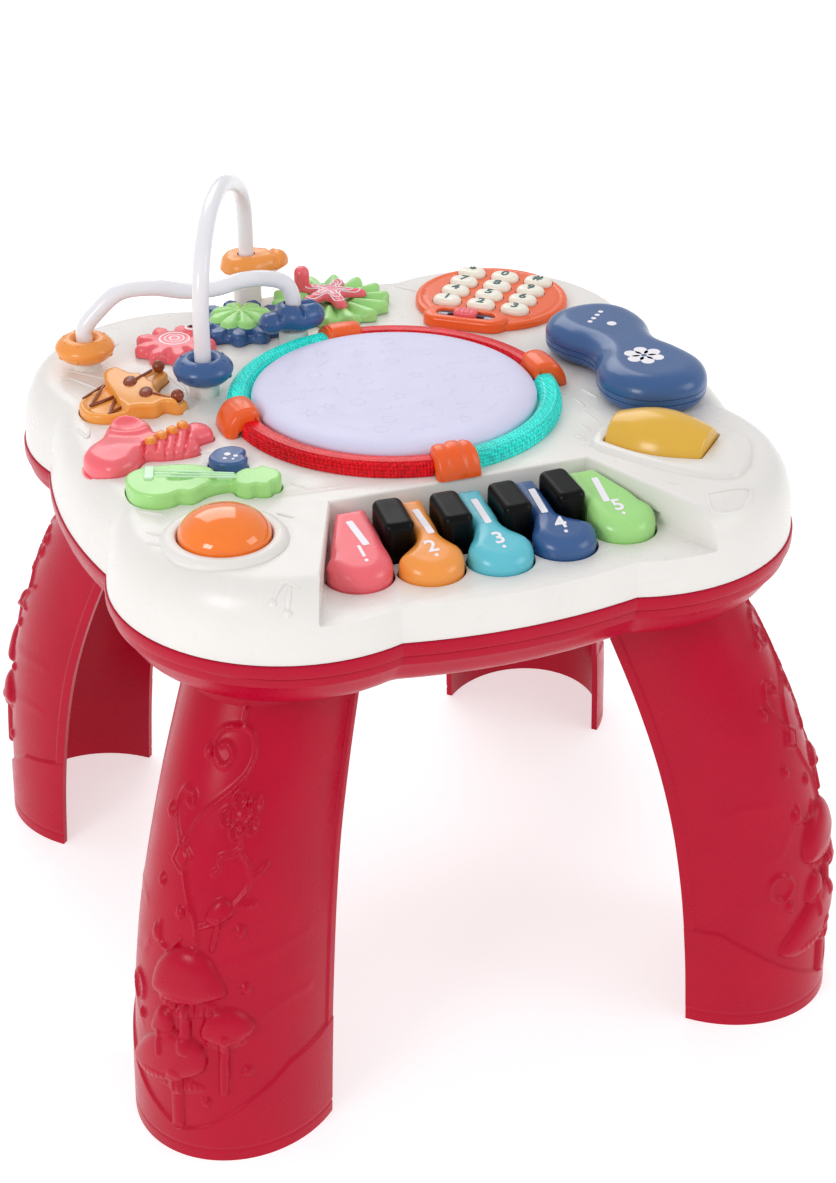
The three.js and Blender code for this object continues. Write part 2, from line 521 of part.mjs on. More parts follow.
// Crimson tray and its battery door
const TRAY_OUTSIDE = [
  [-19, 219.3], [-11, 222], [-5.4, 229.6], [-2.6, 234.4], [-1, 234.9], [-0.8, 239.4], [0.9, 240], [1, 246.3],
];
const TRAY_ROOM = [[-21.5, 222.1], [-10.5, 228], [-2.6, 248]];
const PLUG = { radial: 146, radius: 10.6, high: 232, hole: 11.3, steps: 14 };
const BOSS = { x: 50, y: 34, radius: 4, high: 257.6, steps: 8 };
const DOOR = { x: 0, y: 20, length: 76, width: 52, low: 219.5, high: 221.6, round: 4, clear: 0.4 };
const diagonal = (k, radial, tangential) => {
  const [c, s] = unit(HALF_TURN / 4 + (k * FULL_TURN) / 4);
  return [radial * c - tangential * s, radial * s + tangential * c];
};
{
  const shell = cut(loft(TRAY_OUTSIDE.map(([d, z]) => ({ points: rim(d), z }))), [
    loft(TRAY_ROOM.map(([d, z]) => ({ points: rim(d, COARSE), z }))),
  ]);
  const bosses = [-1, 1].flatMap((a) => [-1, 1].map((b) => prism(
    circle(a * BOSS.x, b * BOSS.y, BOSS.radius, BOSS.steps), Z.trayFloor + 1, BOSS.high,
  )));
  const sockets = [0, 1, 2, 3].map((k) => prism(
    circle(...diagonal(k, PLUG.radial, 0), PLUG.hole, PLUG.steps), Z.trayFloor - 1, PLUG.high,
  ));
  const doorPlan = place(roundedBox(DOOR.length, DOOR.width, DOOR.round, 3), DOOR.x, DOOR.y, 0);
  const doorHole = prism(offset(doorPlan, DOOR.clear), Z.trayFloor - 1, Z.trayFloor + 4);
  add("bottom_tray", cut(join([shell, ...bosses]), [...sockets, doorHole]), COLOR.crimson, SATIN);
  add("battery_door", prism(doorPlan, DOOR.low, DOOR.high), COLOR.crimson, SATIN);
}

// Curved C-section legs
const LEG_LEVELS = [
  // height, chord distance along the diagonal, half width, depth
  [0, 179.8, 49.4, 55.6], [40, 177, 49.2, 57.1], [80, 172, 48.5, 58.6], [112, 165.4, 47.2, 58.9],
  [142, 156, 45.4, 59], [170, 144.6, 44, 58.5], [214, 123, 41.8, 55.6],
];
const LEG = { wall: 3, steps: 8, plateLow: 212.6, top: 219, footPlateLow: 17, footPlateHigh: 19.6, plateInset: 1.6 };
const legAt = (z) => {
  const above = LEG_LEVELS.findIndex((row) => row[0] > z);
  const k = Math.max(0, (above < 0 ? LEG_LEVELS.length - 1 : above) - 1);
  const [a, b] = [LEG_LEVELS[k], LEG_LEVELS[k + 1]];
  const t = (z - a[0]) / (b[0] - a[0]);
  return a.map((v, i) => v + (b[i] - v) * t).slice(1);
};
const legPoint = ([chord, half, depth], angle, inset) => {
  const [c, s] = unit(angle);
  return diagonal(0, chord + (depth - inset) * c, (half - inset) * s);
};
const legArc = (row, inset) => Array.from({ length: LEG.steps + 1 }, (_, i) => (
  legPoint(row, -HALF_TURN / 2 + (HALF_TURN * i) / LEG.steps, inset)
));

// The ground line of the raised foot: [angle round the leg, height]. The skin above lies lower.
const GROUND = [[-90, 55], [-70, 54], [-46, 37], [-22, 23], [-4, 16], [14, 20], [38, 35], [64, 49], [90, 54]];
const RELIEF = { inset: 1.2, step: 0.8, root: 2.2 };
const ground = (angle) => {
  const k = Math.max(1, GROUND.findIndex((row) => row[0] >= angle));
  const [a, b] = [GROUND[k - 1], GROUND[k]];
  return a[1] + ((b[1] - a[1]) * (angle - a[0])) / (b[0] - a[0]);
};
// Mushrooms on the foot: place of the cap's middle, corners from there, and the stem, all as
// [angle, height], since a degree is about a millimetre there.
const MUSHROOMS = [
  { at: [0, 95], rise: 4.4, foot: 0.6, cap: [[-20, -8], [4, -13], [22, -5], [16, 11], [0, 16], [-16, 8]],
    stem: [[-3, -32], [4, -32], [3, -10], [-3, -10]] },
  { at: [25, 75], rise: 4, foot: 1.8, cap: [[-14, -4], [6, -8], [14, 0], [1, 9], [-11, 5]],
    stem: [[-4, -36], [1, -36], [2, -5], [-3, -5]] },
  { at: [-12, 52], rise: 4, foot: 1.8, cap: [[-24, -13], [4, -11], [24, 0], [20, 12], [0, 17], [-17, 5]],
    stem: [[3, -33], [11, -33], [10, -8], [2, -8]] },
];
// Levels of a cap as [share of its size, share of its rise].
const CAP_SHARES = [[0.97, 0.3], [0.62, 1]];

// Solid that stands on the curved skin: outlines of [angle, height] from the root outwards.
function boss([angle, z], levels) {
  const count = levels[0].points.length;
  const positions = levels.flatMap(({ points, rise }) => points.flatMap(([u, v]) => (
    [...legPoint(legAt(z + v), angle + u, RELIEF.inset - rise), z + v]
  )));
  const faces = [];
  for (let k = 0; k + 1 < levels.length; k += 1) {
    for (let i = 0; i < count; i += 1) {
      const [a, b] = [k * count + i, k * count + ((i + 1) % count)];
      faces.push(a, b, b + count, a, b + count, a + count);
    }
  }
  const flat = levels[0].points.map(([u, v]) => new THREE.Vector2(u, v));
  const last = (levels.length - 1) * count;
  THREE.ShapeUtils.triangulateShape(flat, []).forEach(([a, b, c]) => {
    faces.push(a, c, b, last + a, last + b, last + c);
  });
  return solid(positions, faces);
}

const mushroom = ({ at, rise, foot, cap, stem }) => [
  boss(at, [{ points: cap, rise: -RELIEF.root }, ...CAP_SHARES.map(([share, up]) => ({
    points: cap.map(([u, v]) => [u * share, v * share]), rise: rise * up,
  }))]),
  boss(at, [{ points: stem, rise: -RELIEF.root }, { points: stem, rise: foot + 1 }]),
];

{
  const first = -HALF_TURN / 2;
  const front = Array.from({ length: LEG.steps + 1 }, (_, i) => first + (HALF_TURN * i) / LEG.steps);
  const back = [...front].reverse();
  const level = (height, inset) => ({
    points: [
      ...front.map((angle) => [...legPoint(legAt(height(angle)), angle, inset), height(angle)]),
      ...back.map((angle) => [...legPoint(legAt(height(angle)), angle, LEG.wall + RELIEF.inset), height(angle)]),
    ],
  });
  const top = LEG_LEVELS[LEG_LEVELS.length - 1][0];
  const shell = loft([
    level(() => 0, 0), level(ground, 0), level((angle) => ground(angle) + RELIEF.step, RELIEF.inset),
    ...LEG_LEVELS.slice(2).map(([z]) => level(() => z, RELIEF.inset)),
  ]);
  const head = legAt(top);
  const plate = prism(legArc(head, LEG.plateInset), LEG.plateLow, LEG.top);
  const footPlate = prism(legArc(legAt(LEG.footPlateLow), RELIEF.inset + 1), LEG.footPlateLow, LEG.footPlateHigh);
  const plug = prism(circle(...diagonal(0, PLUG.radial, 0), PLUG.radius, PLUG.steps), LEG.top - 1, PLUG.high);
  const leg = join([shell, ...MUSHROOMS.flatMap(mushroom), plate, footPlate, plug]);
  ["leg_back_right", "leg_back_left", "leg_front_left", "leg_front_right"].forEach((name, k) => {
    add(name, leg.rotate([0, 0, (k * FULL_TURN) / 4]), COLOR.crimson, SATIN);
  });
}

// Drum head, light ring and clips
add("drum_head", revolve(0, 0, [
  [0, DRUM.low], [DRUM.skirtIn, DRUM.low], [DRUM.skirtIn, DRUM.skirtLow], [DRUM.skirtOut, DRUM.skirtLow],
  [DRUM.skirtOut, DRUM.low], [DRUM.radius, DRUM.low], [DRUM.radius, DRUM.shoulder],
  [DRUM.radius - DRUM.edge, DRUM.top], [0, DRUM.top],
], RING_STEPS), COLOR.milk, SATIN);
{
  const base = revolve(0, 0, [
    [LIGHT.inner, LIGHT.low], [LIGHT.outer, LIGHT.low], [LIGHT.outer, LIGHT.base], [LIGHT.inner, LIGHT.base],
  ], RING_STEPS);
  const crown = revolve(0, 0, [
    [LIGHT.inner, LIGHT.low + 1], [LIGHT.outer, LIGHT.low + 1], [LIGHT.outer, LIGHT.high - LIGHT.drop],
    [LIGHT.outer - LIGHT.round, LIGHT.high], [LIGHT.inner, LIGHT.high],
  ], RING_STEPS);
  const gaps = [0, 1, 2, 3].map((k) => prism(place(
    [[LIGHT.inner - 3, -CLIP.half - GAP], [LIGHT.outer + 3, -CLIP.half - GAP], [LIGHT.outer + 3, CLIP.half + GAP],
      [LIGHT.inner - 3, CLIP.half + GAP]], 0, 0, (k * FULL_TURN) / 4), LIGHT.base, LIGHT.high + 1));
  add("light_ring", join([base, cut(crown, gaps)]), COLOR.ring, GLOSS);
}
Object.entries(CLIP.tops).forEach(([side, top], k) => {
  const turn = (k * FULL_TURN) / 4;
  const length = CLIP.outer - CLIP.inner;
  const middle = (CLIP.outer + CLIP.inner) / 2;
  const plan = place(place(roundedBox(length, CLIP.half * 2, CLIP.corner, 2), middle, 0, 0), 0, 0, turn);
  const drop = CLIP.outer - CLIP.hookIn;
  const hook = place(place(roundedBox(drop, CLIP.half * 2, CLIP.hookCorner, 1), CLIP.outer - drop / 2, 0, 0), 0, 0, turn);
  const curve = cut(join([
    pad(plan, [[0, CLIP.low], [0, CLIP.shoulder], [-CLIP.edge, top]]),
    prism(hook, CLIP.hookLow, CLIP.shoulder - 1),
  ]), [prism(circle(0, 0, CLIP.inner, RING_STEPS), CLIP.hookLow, top + 1)]);
  add(`ring_clip_${side}`, curve, COLOR.clip, GLOSS);
});

// Pressed buttons
function pressButton(name, plan, levels, color, extras = []) {
  const body = pad(plan, [[0, FLANGE.low], ...levels]);
  const flange = pad(plan, [[FLANGE.grow, FLANGE.low], [FLANGE.grow, FLANGE.high]]);
  add(name, join([body, flange, ...extras]), color, GLOSS);
}
const SOFT_EDGE = [[0, 286], [-1.8, 287.8]];
const SHELL_EDGE = [[0, 284.4], [-1.4, 285.6]];
const VALVES = [[-124, -13], [-118, -9.4], [-112, -6], [-106, -2.6]];
const VALVE = { radius: 2.3, low: 286, high: 290.4, steps: 6 };
const valveStems = VALVES.map(([x, y]) => prism(circle(x, y, VALVE.radius, VALVE.steps), VALVE.low, VALVE.high));
const BALLS = [[-99, 30.6], [-98.4, 67], [-114, 57.5], [-110.5, 45]];
const BALL = { radius: 3.6, steps: 8, levels: [[0, 285], [0, 289.2], [-1.8, 291.4]] };
const ballKnobs = BALLS.map(([x, y]) => pad(circle(x, y, BALL.radius, BALL.steps), BALL.levels));
pressButton("guitar_button", GUITAR, SOFT_EDGE, COLOR.leaf);
pressButton("trumpet_button", TRUMPET, SOFT_EDGE, COLOR.coral, valveStems);
pressButton("drum_button", DRUM_TOY, SOFT_EDGE, COLOR.orange, ballKnobs);
pressButton("shell_button", SHELL_BUTTON, SHELL_EDGE, COLOR.denim);
add("dome_button", revolve(...DOME.centre, [
  [0, DOME.flangeLow], [DOME.flange, DOME.flangeLow], [DOME.flange, DOME.flangeHigh], [DOME.radius, DOME.flangeHigh],
  [DOME.radius, DOME.skirt], ...[20, 42, 66].map((a) => [
    DOME.radius * unit(a)[0], DOME.skirt + (DOME.top - DOME.skirt) * unit(a)[1],
  ]), [0, DOME.top],
], DOME.steps), COLOR.dome, GLOSS);

// Gear train with its caps
GEARS.forEach((gear) => {
  const body = pad(gearPlan(gear), [[0, GEAR.low], [0, GEAR.high - GEAR.edge], [-GEAR.edge, GEAR.high]]);
  const bore = prism(circle(...gear.centre, GEAR.bore, HINGE.steps), GEAR.low - 1, GEAR.boreTop);
  add(gear.name, cut(body, [bore]), gear.color, GLOSS);
});
const CAP = {
  low: 287.3, top: 290.6, edge: 1.2, flower: 16.4, petals: 8, dip: 1.8, starReach: 19, starWaist: 8, arms: 5, starTurn: 128,
  knob: 3.6, knobTop: 300, knobEdge: 2, knobSteps: 8,
};
{
  const flower = Array.from({ length: CAP.petals * 4 }, (_, i) => {
    const angle = (FULL_TURN * i) / (CAP.petals * 4);
    const r = CAP.flower - CAP.dip + CAP.dip * Math.cos(angle * CAP.petals * RAD);
    const [c, s] = unit(angle);
    return [BLUE.centre[0] + r * c, BLUE.centre[1] + r * s];
  });
  const edge = [[0, CAP.low], [0, CAP.top - CAP.edge], [-CAP.edge, CAP.top]];
  add("flower_cap", pad(flower, edge), COLOR.leaf, GLOSS);
  const star = smooth(Array.from({ length: CAP.arms * 2 }, (_, i) => {
    const r = i % 2 ? CAP.starWaist : CAP.starReach;
    const [c, s] = unit((HALF_TURN * i) / CAP.arms + CAP.starTurn);
    return [GREEN.centre[0] + r * c, GREEN.centre[1] + r * s];
  }), 20);
  const [c, s] = unit(CAP.starTurn);
  const tip = [GREEN.centre[0] + (CAP.starReach - 1) * c, GREEN.centre[1] + (CAP.starReach - 1) * s];
  const knob = pad(circle(...tip, CAP.knob, CAP.knobSteps), [
    [0, CAP.low], [0, CAP.knobTop - CAP.knobEdge], [-CAP.knobEdge, CAP.knobTop],
  ]);
  add("star_cap", join([pad(star, edge), knob]), COLOR.coral, GLOSS);
}

// Keypad, switch and handset
{
  const plate = pad(circle(...PAD_AT.plate, PAD_AT.plateRadius, 32), [
    [0, PAD_AT.low], [0, PAD_AT.top - PAD_AT.edge], [-PAD_AT.edge, PAD_AT.top],
  ]);
  const housing = pad(place(obround(SWITCH.length, SWITCH.width, SWITCH.steps), ...SWITCH.centre, SWITCH.turn), [
    [0, PAD_AT.low], [0, SWITCH.top - PAD_AT.edge], [-PAD_AT.edge, SWITCH.top],
  ]);
  const slot = prism(place(obround(SWITCH.slotLength, SWITCH.slotWidth, SWITCH.steps), ...SWITCH.centre, SWITCH.turn),
    SWITCH.floor, SWITCH.top + 1);
  const holes = keypadKeys.map(({ plan }) => prism(offset(plan, PAD_KEY.clear), PAD_AT.low - 1, PAD_AT.top + 1));
  add("keypad_plate", cut(join([plate, housing]), [slot, ...holes]), COLOR.clip, GLOSS);
  add("switch_slider", pad(
    place(roundedBox(SWITCH.knobLength, SWITCH.knobWidth, 2, 3), ...SWITCH.centre, SWITCH.turn),
    [[0, SWITCH.low], [0, SWITCH.high - 1], [-1, SWITCH.high]],
  ), COLOR.coral, GLOSS);
  const NAMES = [
    "digit_key_1", "digit_key_2", "digit_key_3", "digit_key_4", "digit_key_5", "digit_key_6",
    "digit_key_7", "digit_key_8", "digit_key_9", "digit_key_star", "digit_key_0", "digit_key_hash",
  ];
  keypadKeys.forEach(({ row, column, plan }) => {
    const body = pad(plan, [
      [PAD_KEY.flange, PAD_KEY.low], [PAD_KEY.flange, PAD_KEY.rim], [0, PAD_KEY.rim + PAD_KEY.step],
      [-PAD_KEY.taper, PAD_KEY.high],
    ]);
    add(NAMES[row * 3 + column], body, COLOR.key, SATIN);
  });
}
const HANDSET_BELLY = [[-5, HANDSET.low], [-1.2, HANDSET.low + 2.4], [0, HANDSET.seamLow]];
const HANDSET_BACK = [[0, HANDSET.seamHigh], [-0.6, 294], [-4, 298.4], [-9.5, HANDSET.top]];
add("handset_lower", pad(HANDSET_PLAN, HANDSET_BELLY), COLOR.denim, GLOSS);
add("handset_upper", pad(HANDSET_PLAN, HANDSET_BACK), COLOR.denim, GLOSS);

// Barrel roller on its axle
{
  const lay = (shape) => shape.rotate([0, HALF_TURN / 2, 0]).rotate([0, 0, ROLLER.turn])
    .translate([...ROLLER.centre, ROLLER.z]);
  const profile = [[ROLLER.bore, -ROLLER.half], ...ROLLER_STATIONS.map((s) => [belly(s), s]), [ROLLER.bore, ROLLER.half]];
  add("roller", lay(revolve(0, 0, profile, ROLLER.steps)), COLOR.mustard, GLOSS);
  add("roller_axle", lay(prism(circle(0, 0, ROLLER.axle, HINGE.steps), -ROLLER.axleHalf, ROLLER.axleHalf)),
    COLOR.steel, SATIN, 1);
}

// Bead wires and beads
add("wire_low", bar(WIRE_LOW_PATH, WIRE.radius, WIRE.sides, WIRE.spans), COLOR.wire, GLOSS);
add("wire_tall", bar(WIRE_TALL_PATH, WIRE.radius, WIRE.sides, WIRE.spans), COLOR.wire, GLOSS);
const BEAD = { bore: 4.8, steps: 16, radius: 14.7 };
// Half sections as [share of the radius, share of the half height].
const SAUCER_SHARES = [[0.55, -1], [0.9, -0.45], [1, 0], [0.88, 0.5], [0.5, 1]];
const saucer = ([x, y], z, half) => revolve(x, y, [
  [BEAD.bore, z - half], ...SAUCER_SHARES.map(([r, h]) => [BEAD.radius * r, z + half * h]), [BEAD.bore, z + half],
], BEAD.steps);
const [ORANGE_POST, BEETLE_POST, BLUE_POST, BUG_POST] = POSTS;
add("bead_orange", saucer(ORANGE_POST, 291.4, 6), COLOR.orange, GLOSS);
add("bead_blue", saucer(BLUE_POST, 294, 6.4), COLOR.denim, GLOSS);

// Creature beads: a plan, its middle and the levels of its round body.
const CREATURES = [
  { name: "bead_beetle", color: COLOR.denim, post: BEETLE_POST, middle: [-22.5, 84.5], corners: 20, plan: [
    [-42, 81], [-40.5, 76], [-35, 74.5], [-29.5, 76], [-23, 73], [-14.5, 74], [-8.5, 78], [-7, 84], [-9.5, 90],
    [-15, 93.5], [-23, 94.5], [-30, 92.5], [-34, 88.5], [-40, 87],
  ], levels: [[0.52, 289.7], [0.9, 293.2], [1, 296], [0.9, 300.6], [0.6, 303.4]] },
  { name: "bead_bug", color: COLOR.orange, post: BUG_POST, middle: [-23, 150], corners: 20, plan: [
    [-41, 150], [-37, 140], [-27, 136.5], [-17, 140], [-9, 143], [-4, 150], [-9, 157], [-17, 160], [-27, 163.5], [-37, 160],
  ], levels: [[0.6, 291], [0.92, 295], [1, 300], [0.86, 305], [0.6, 308]] },
];
CREATURES.forEach(({ name, color, post, middle, corners, plan, levels }) => {
  const body = swell(smooth(plan, corners), middle, levels);
  const bore = prism(circle(post[0], post[1], BEAD.bore, BEAD.steps), levels[0][1] - 1, levels[levels.length - 1][1] + 1);
  add(name, cut(body, [bore]), color, GLOSS);
});

// Parts inside the tray
const SPEAKER = { centre: [0, -49], steps: 20, profile: [[0, 222.5], [25, 222.5], [25, 226], [17, 234], [17, 242], [0, 242]] };
add("speaker", revolve(...SPEAKER.centre, SPEAKER.profile, SPEAKER.steps), COLOR.speaker, SATIN);
const BOARD = { half: 56, front: -40, back: 46, thick: 1.6, sink: 1 };
const CHIPS = [[-14, 14, -10, 12, 4], [26, 44, 14, 30, 5]];
{
  const plate = box(-BOARD.half, BOARD.half, BOARD.front, BOARD.back, Z.board, Z.board + BOARD.thick);
  const chips = CHIPS.map(([x0, x1, y0, y1, high]) => box(x0, x1, y0, y1, Z.board + BOARD.sink, Z.board + high));
  add("circuit_board", join([plate, ...chips]), COLOR.board, SATIN);
}
const BATTERY = { pitch: 15.4, half: 25, z: 229.8, radius: 7.1 };
[-1, 0, 1].forEach((row, i) => {
  const y = DOOR.y + row * BATTERY.pitch;
  add(`battery_${i + 1}`, alongX(-BATTERY.half, BATTERY.half, y, BATTERY.z, BATTERY.radius, HINGE.steps),
    COLOR.steel, SATIN, 1);
});

export default group;
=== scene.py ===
"""Musical activity table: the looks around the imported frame. Sizes are in millimetres, made metres by MM."""
import json
import math

import bpy
import numpy as np
from mathutils import Matrix, Vector
from mathutils.geometry import delaunay_2d_cdt


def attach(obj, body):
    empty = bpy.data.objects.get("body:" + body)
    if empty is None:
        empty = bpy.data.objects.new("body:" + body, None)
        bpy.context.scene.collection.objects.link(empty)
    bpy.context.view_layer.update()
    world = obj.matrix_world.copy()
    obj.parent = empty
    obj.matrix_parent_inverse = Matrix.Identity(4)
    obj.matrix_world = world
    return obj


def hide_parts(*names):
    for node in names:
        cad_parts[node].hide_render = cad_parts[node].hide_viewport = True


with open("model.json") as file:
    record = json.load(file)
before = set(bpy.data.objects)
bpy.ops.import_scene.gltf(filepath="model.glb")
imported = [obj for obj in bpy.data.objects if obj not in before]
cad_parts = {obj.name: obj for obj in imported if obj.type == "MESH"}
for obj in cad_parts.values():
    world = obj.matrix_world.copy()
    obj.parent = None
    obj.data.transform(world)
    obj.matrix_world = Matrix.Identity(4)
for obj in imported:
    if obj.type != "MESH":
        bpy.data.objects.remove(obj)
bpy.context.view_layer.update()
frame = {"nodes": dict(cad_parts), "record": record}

MM = 0.001
RAD = math.pi / 180
TABLE = "table"

# Camera of the photograph
CAMERA_AT = (-352.26, -953.55, 754.53)
CAMERA_AIM = (121.8, 286.6, 0)
LENS = 70.67
SENSOR = 36


def make_camera():
    data = bpy.data.cameras.new("photo_camera")
    data.lens = LENS
    data.sensor_width = SENSOR
    data.sensor_fit = "AUTO"
    camera = bpy.data.objects.new("photo_camera", data)
    bpy.context.scene.collection.objects.link(camera)
    place_at = Vector(CAMERA_AT) * MM
    towards = Vector(CAMERA_AIM) * MM - place_at
    camera.location = place_at
    camera.rotation_euler = towards.to_track_quat("-Z", "Y").to_euler()
    bpy.context.scene.camera = camera


make_camera()


# Materials
def rgb(code):
    channels = [((code >> shift) & 255) / 255 for shift in (16, 8, 0)]
    return [c / 12.92 if c <= 0.04045 else ((c + 0.055) / 1.055) ** 2.4 for c in channels] + [1]


def noise(tree, scale, detail):
    at = tree.nodes.new("ShaderNodeTexCoord")
    node = tree.nodes.new("ShaderNodeTexNoise")
    node.inputs["Scale"].default_value = scale
    node.inputs["Detail"].default_value = detail
    tree.links.new(at.outputs["Object"], node.inputs["Vector"])
    return node


def spread(tree, source, low, high):
    node = tree.nodes.new("ShaderNodeMapRange")
    node.inputs["From Min"].default_value = 0.3
    node.inputs["From Max"].default_value = 0.7
    node.inputs["To Min"].default_value = low
    node.inputs["To Max"].default_value = high
    tree.links.new(source, node.inputs["Value"])
    return node.outputs["Result"]


def beaded(tree, paint, scale):
    """Paints shade into the gaps between fine moulded beads: darkens the colour towards the edge of each cell."""
    at = tree.nodes.new("ShaderNodeTexCoord")
    cells = tree.nodes.new("ShaderNodeTexVoronoi")
    cells.inputs["Scale"].default_value = scale
    cells.inputs["Randomness"].default_value = 0.25
    tree.links.new(at.outputs["Object"], cells.inputs["Vector"])
    share = tree.nodes.new("ShaderNodeMapRange")
    share.inputs["From Min"].default_value = 0.25
    share.inputs["From Max"].default_value = 0.75
    share.inputs["To Min"].default_value = 1
    share.inputs["To Max"].default_value = 0.45
    tree.links.new(cells.outputs["Distance"], share.inputs["Value"])
    # painted shade: the colour is scaled down near cell edges, in the gaps between beads
    painted_gap_shade = tree.nodes.new("ShaderNodeVectorMath")
    painted_gap_shade.operation = "SCALE"
    tree.links.new(paint, painted_gap_shade.inputs[0])
    tree.links.new(share.outputs["Result"], painted_gap_shade.inputs["Scale"])
    return painted_gap_shade.outputs["Vector"]


def plastic(name, code, rough=0.28, mottle=0.06, grain=0.05, soft=0.0, coat=0.1, shine=0.5, glow=0.0, metal=0.0,
            beads=0):
    """Moulded plastic: faint cloudy tone, uneven gloss and a fine moulded grain; with beads set, painted shade in the
    gaps between beads.
    """
    look = bpy.data.materials.new(name)
    look.use_nodes = True
    tree = look.node_tree
    shader = tree.nodes["Principled BSDF"]
    base = rgb(code)
    cloud = noise(tree, 38, 3)
    ramp = tree.nodes.new("ShaderNodeValToRGB")
    ramp.color_ramp.elements[0].position = 0.3
    ramp.color_ramp.elements[1].position = 0.7
    ramp.color_ramp.elements[0].color = [c * (1 - mottle) for c in base[:3]] + [1]
    ramp.color_ramp.elements[1].color = [min(1, c * (1 + mottle)) for c in base[:3]] + [1]
    tree.links.new(cloud.outputs["Fac"], ramp.inputs["Fac"])
    paint = ramp.outputs["Color"]
    # with beads set, painted shade darkens the colour between the beads
    if beads:
        paint = beaded(tree, paint, beads)
    tree.links.new(paint, shader.inputs["Base Color"])
    smear = noise(tree, 90, 4)
    tree.links.new(spread(tree, smear.outputs["Fac"], rough * 0.85, rough * 1.2), shader.inputs["Roughness"])
    pits = noise(tree, 2600, 2)
    bump = tree.nodes.new("ShaderNodeBump")
    bump.inputs["Strength"].default_value = grain
    bump.inputs["Distance"].default_value = 0.0001
    tree.links.new(pits.outputs["Fac"], bump.inputs["Height"])
    tree.links.new(bump.outputs["Normal"], shader.inputs["Normal"])
    shader.inputs["Metallic"].default_value = metal
    shader.inputs["Subsurface Weight"].default_value = soft
    shader.inputs["Subsurface Radius"].default_value = (0.004, 0.003, 0.002)
    shader.inputs["Coat Weight"].default_value = coat
    shader.inputs["Coat Roughness"].default_value = 0.08
    shader.inputs["Specular IOR Level"].default_value = shine
    if glow:
        tree.links.new(paint, shader.inputs["Emission Color"])
        shader.inputs["Emission Strength"].default_value = glow
    return look


LOOKS = {
    "panel_white": plastic("white_plastic", 0xE9E5E0, 0.3, 0.015, 0.04, soft=0.1, coat=0.05, shine=0.35),
    "crimson": plastic("crimson_plastic", 0xB4002A, 0.28, 0.04, 0.05, coat=0.0, shine=0.2),
    "milk": plastic("milky_plastic", 0xD6D4EC, 0.4, 0.02, 0.05, soft=0.2, coat=0.0, shine=0.3),
    # Both lit ring looks carry painted shade in the gaps between their beads (beads=620).
    "ring": plastic("lit_pink_plastic", 0xEA1020, 0.22, 0.14, 0.05, coat=0.0, shine=0.2, glow=0.12,
                    beads=620),
    "ring_turquoise": plastic("lit_turquoise_plastic", 0x22D8CC, 0.18, 0.1, 0.05, coat=0.0, glow=0.4, beads=620),
    "brown": plastic("brown_plastic", 0x8A3A18, 0.2, 0.06),
    "amber": plastic("amber_plastic", 0xF0A044, 0.2, 0.05, soft=0.15),
    "pale_leaf": plastic("pale_leaf_print", 0xCBEFC8, 0.3, 0.02),
    "slate": plastic("slate_print", 0x434A60, 0.4, 0.03),
    "print_white": plastic("white_print", 0xF3EEF4, 0.35, 0.01),
    "print_dark": plastic("dark_green_print", 0x17504C, 0.35, 0.03),
    "clip_orange": plastic("clip_orange_plastic", 0xF05E1E, 0.24, 0.04, shine=0.4),
    "coral": plastic("coral_plastic", 0xF26670, 0.25, 0.03, soft=0.08),
    "orange": plastic("orange_plastic", 0xF59A42, 0.25, 0.03, soft=0.08),
    "sky": plastic("sky_plastic", 0x5FC3D3, 0.25, 0.03, soft=0.08),
    "denim": plastic("denim_plastic", 0x33598E, 0.25, 0.04),
    "leaf": plastic("leaf_plastic", 0xA4DE84, 0.25, 0.03, soft=0.08),
    "black": plastic("black_plastic", 0x030303, 0.3, 0.1, coat=0.0, shine=0.15),
    "mustard": plastic("mustard_plastic", 0xE4B23C, 0.22, 0.04),
    "dome_orange": plastic("clear_orange_plastic", 0xFF7D10, 0.1, 0.03, 0.02, soft=0.3, coat=0.6),
    "key_cream": plastic("cream_plastic", 0xF2ECDD, 0.3, 0.02, soft=0.1),
    "wire_white": plastic("white_coating", 0xEDEBEE, 0.22, 0.015, soft=0.1),
    "steel": plastic("bright_steel", 0xB4B6B8, 0.3, 0.05, metal=1),
    "board": plastic("board_green", 0x2C6B3C, 0.5, 0.08),
    "speaker_black": plastic("speaker_black", 0x2A2A2C, 0.6, 0.08),
}


# Plans: closed outlines as lists of corners, counter-clockwise
def unit(angle):
    return math.cos(angle * RAD), math.sin(angle * RAD)


def arc(cx, cy, radius, start, end, steps):
    return [(cx + radius * unit(start + (end - start) * i / steps)[0],
             cy + radius * unit(start + (end - start) * i / steps)[1]) for i in range(steps + 1)]


def circle(cx, cy, radius, steps):
    return arc(cx, cy, radius, 0, 360, steps)[:-1]


def place(points, cx, cy, angle):
    c, s = unit(angle)
    return [(cx + x * c - y * s, cy + x * s + y * c) for x, y in points]


def obround(length, width, steps):
    r = width / 2
    half = length / 2 - r
    return arc(half, 0, r, -90, 90, steps) + arc(-half, 0, r, 90, 270, steps)


def rounded_box(length, width, r, steps):
    x = length / 2 - r
    y = width / 2 - r
    return (arc(x, -y, r, -90, 0, steps) + arc(x, y, r, 0, 90, steps)
            + arc(-x, y, r, 90, 180, steps) + arc(-x, -y, r, 180, 270, steps))


